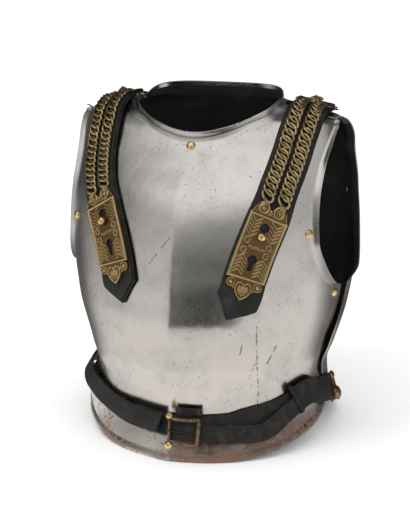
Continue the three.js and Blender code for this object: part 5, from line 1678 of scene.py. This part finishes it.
def a_color(name, text, default):
    return FloatVectorProperty(name=name, description=text, subtype="COLOR", default=default, min=0, max=1)


class CuirassSizes(bpy.types.PropertyGroup):
    """Sizes of the loose work: the steel and the leather follow the frame."""

    chain_pitch: a_length("Chain pitch", "From one link to the next", 0.0078, 0.004, 0.012)
    chain_wire: a_length("Chain wire", "Radius of the wire of a link", 0.0017, 0.0005, 0.003)


class CuirassFinishes(bpy.types.PropertyGroup):
    """Colours of the finishes."""

    steel: a_color("Steel", "Polished steel", (0.60, 0.58, 0.555))
    rust: a_color("Rust", "Stains on the flange", (0.22, 0.115, 0.075))
    inside: a_color("Inside", "Dark inner faces with painted shade", (0.012, 0.012, 0.012))
    brass: a_color("Brass", "Rubbed brass", (0.54, 0.40, 0.19))
    chain: a_color("Chain", "Rubbed chain brass", (0.56, 0.44, 0.235))
    leather: a_color("Leather", "Blackened leather", (0.012, 0.0115, 0.0105))


class CuirassStudio(bpy.types.PropertyGroup):
    """The camera and the lights."""

    lens: an_amount("Lens", "Focal length of the camera, in millimetres", 81.9, 20, 200)
    distance: a_length("Distance", "From the camera to the cuirass", 1.44, 0.5, 5)
    azimuth: an_angle("Azimuth", "Round from the front towards the wearer's left", 20.4)
    elevation: an_angle("Elevation", "Above the level", 14.5)
    air: an_amount("Air", "Strength of the white surroundings", 1.1, 0, 3)
    walls: an_amount("Walls", "Brightness of the walls the front reflects", 0.68, 0, 3)
    behind: an_amount("Behind", "Brightness of the dark behind", 0.08, 0, 3)
    ground: an_amount("Ground", "Brightness of the floor the front reflects", 0.98, 0, 3)
    above: an_amount("Above", "Brightness added above the front", 0.5, 0, 3)
    panel: an_amount("Panel", "Share of light the dark panel gives back", 0.05, 0, 1)
    key: an_amount("Key", "Power of the left light in watts", 24, 0, 500)
    fill: an_amount("Fill", "Power of the right light in watts", 5, 0, 500)


class CUIRASS_OT_steel(bpy.types.Operator):
    """Make the materials, the breastplate and the backplate"""

    bl_idname = "cuirass.steel"
    bl_label = "Breastplate and backplate"

    def execute(self, context):
        make_materials(context.scene.cuirass_finishes)
        lay_steel()
        return {"FINISHED"}


class CUIRASS_OT_rivets(bpy.types.Operator):
    """Set the domed rivets of both plates"""

    bl_idname = "cuirass.rivets"
    bl_label = "Rivets"

    def execute(self, context):
        lay_rivets()
        return {"FINISHED"}


class CUIRASS_OT_strap_leather(bpy.types.Operator):
    """Lay the leather of the shoulder straps with its linings"""

    bl_idname = "cuirass.strap_leather"
    bl_label = "Shoulder straps"

    def execute(self, context):
        lay_strap_leather()
        return {"FINISHED"}


class CUIRASS_OT_chains(bpy.types.Operator):
    """Lay the rows of curb chain on the straps"""

    bl_idname = "cuirass.chains"
    bl_label = "Curb chains"

    def execute(self, context):
        sizes = context.scene.cuirass_sizes
        lay_chains(sizes.chain_pitch * 1000, sizes.chain_wire * 1000)
        return {"FINISHED"}


class CUIRASS_OT_strap_plates(bpy.types.Operator):
    """Make the ornamented plates at the front of the straps"""

    bl_idname = "cuirass.strap_plates"
    bl_label = "Strap plates"

    def execute(self, context):
        lay_strap_plates()
        return {"FINISHED"}


class CUIRASS_OT_strap_ends(bpy.types.Operator):
    """Make the studs, and the plates and rivets behind the shoulders"""

    bl_idname = "cuirass.strap_ends"
    bl_label = "Studs and strap ends"

    def execute(self, context):
        lay_strap_ends()
        return {"FINISHED"}


class CUIRASS_OT_belt(bpy.types.Operator):
    """Lay the waist belt with its backing, keeper and tab"""

    bl_idname = "cuirass.belt"
    bl_label = "Waist belt"

    def execute(self, context):
        lay_belt()
        return {"FINISHED"}


class CUIRASS_OT_buckle(bpy.types.Operator):
    """Make the buckle, its tongue and the lobed plates of the belt"""

    bl_idname = "cuirass.buckle"
    bl_label = "Buckle and belt plates"

    def execute(self, context):
        lay_buckle()
        lay_belt_plates()
        return {"FINISHED"}


class CUIRASS_OT_stage(bpy.types.Operator):
    """Set the floor, the lights and the camera"""

    bl_idname = "cuirass.stage"
    bl_label = "Studio"

    def execute(self, context):
        set_stage(context.scene.cuirass_studio)
        return {"FINISHED"}


OPERATORS = (
    CUIRASS_OT_steel, CUIRASS_OT_rivets, CUIRASS_OT_strap_leather, CUIRASS_OT_chains, CUIRASS_OT_strap_plates,
    CUIRASS_OT_strap_ends, CUIRASS_OT_belt, CUIRASS_OT_buckle, CUIRASS_OT_stage,
)


class CUIRASS_PT_panel(bpy.types.Panel):
    """Lists the makers of the cuirass"""

    bl_idname = "CUIRASS_PT_panel"
    bl_label = "Cuirass"
    bl_space_type = "VIEW_3D"
    bl_region_type = "UI"
    bl_category = "Cuirass"

    def draw(self, context):
        for operator in OPERATORS:
            self.layout.operator(operator.bl_idname)
        for group in ("cuirass_sizes", "cuirass_finishes", "cuirass_studio"):
            values = getattr(context.scene, group)
            box = self.layout.box()
            for name in values.__annotations__:
                box.prop(values, name)


CLASSES = (CuirassSizes, CuirassFinishes, CuirassStudio, *OPERATORS, CUIRASS_PT_panel)


def register():
    for cls in CLASSES:
        bpy.utils.register_class(cls)
    bpy.types.Scene.cuirass_sizes = PointerProperty(type=CuirassSizes)
    bpy.types.Scene.cuirass_finishes = PointerProperty(type=CuirassFinishes)
    bpy.types.Scene.cuirass_studio = PointerProperty(type=CuirassStudio)


def unregister():
    del bpy.types.Scene.cuirass_studio
    del bpy.types.Scene.cuirass_finishes
    del bpy.types.Scene.cuirass_sizes
    for cls in reversed(CLASSES):
        bpy.utils.unregister_class(cls)


def main():
    register()
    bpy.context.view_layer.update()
    bpy.ops.cuirass.steel()
    bpy.ops.cuirass.rivets()
    bpy.ops.cuirass.strap_leather()
    bpy.ops.cuirass.chains()
    bpy.ops.cuirass.strap_plates()
    bpy.ops.cuirass.strap_ends()
    bpy.ops.cuirass.belt()
    bpy.ops.cuirass.buckle()
    bpy.ops.cuirass.stage()


if __name__ == "__main__":
    main()
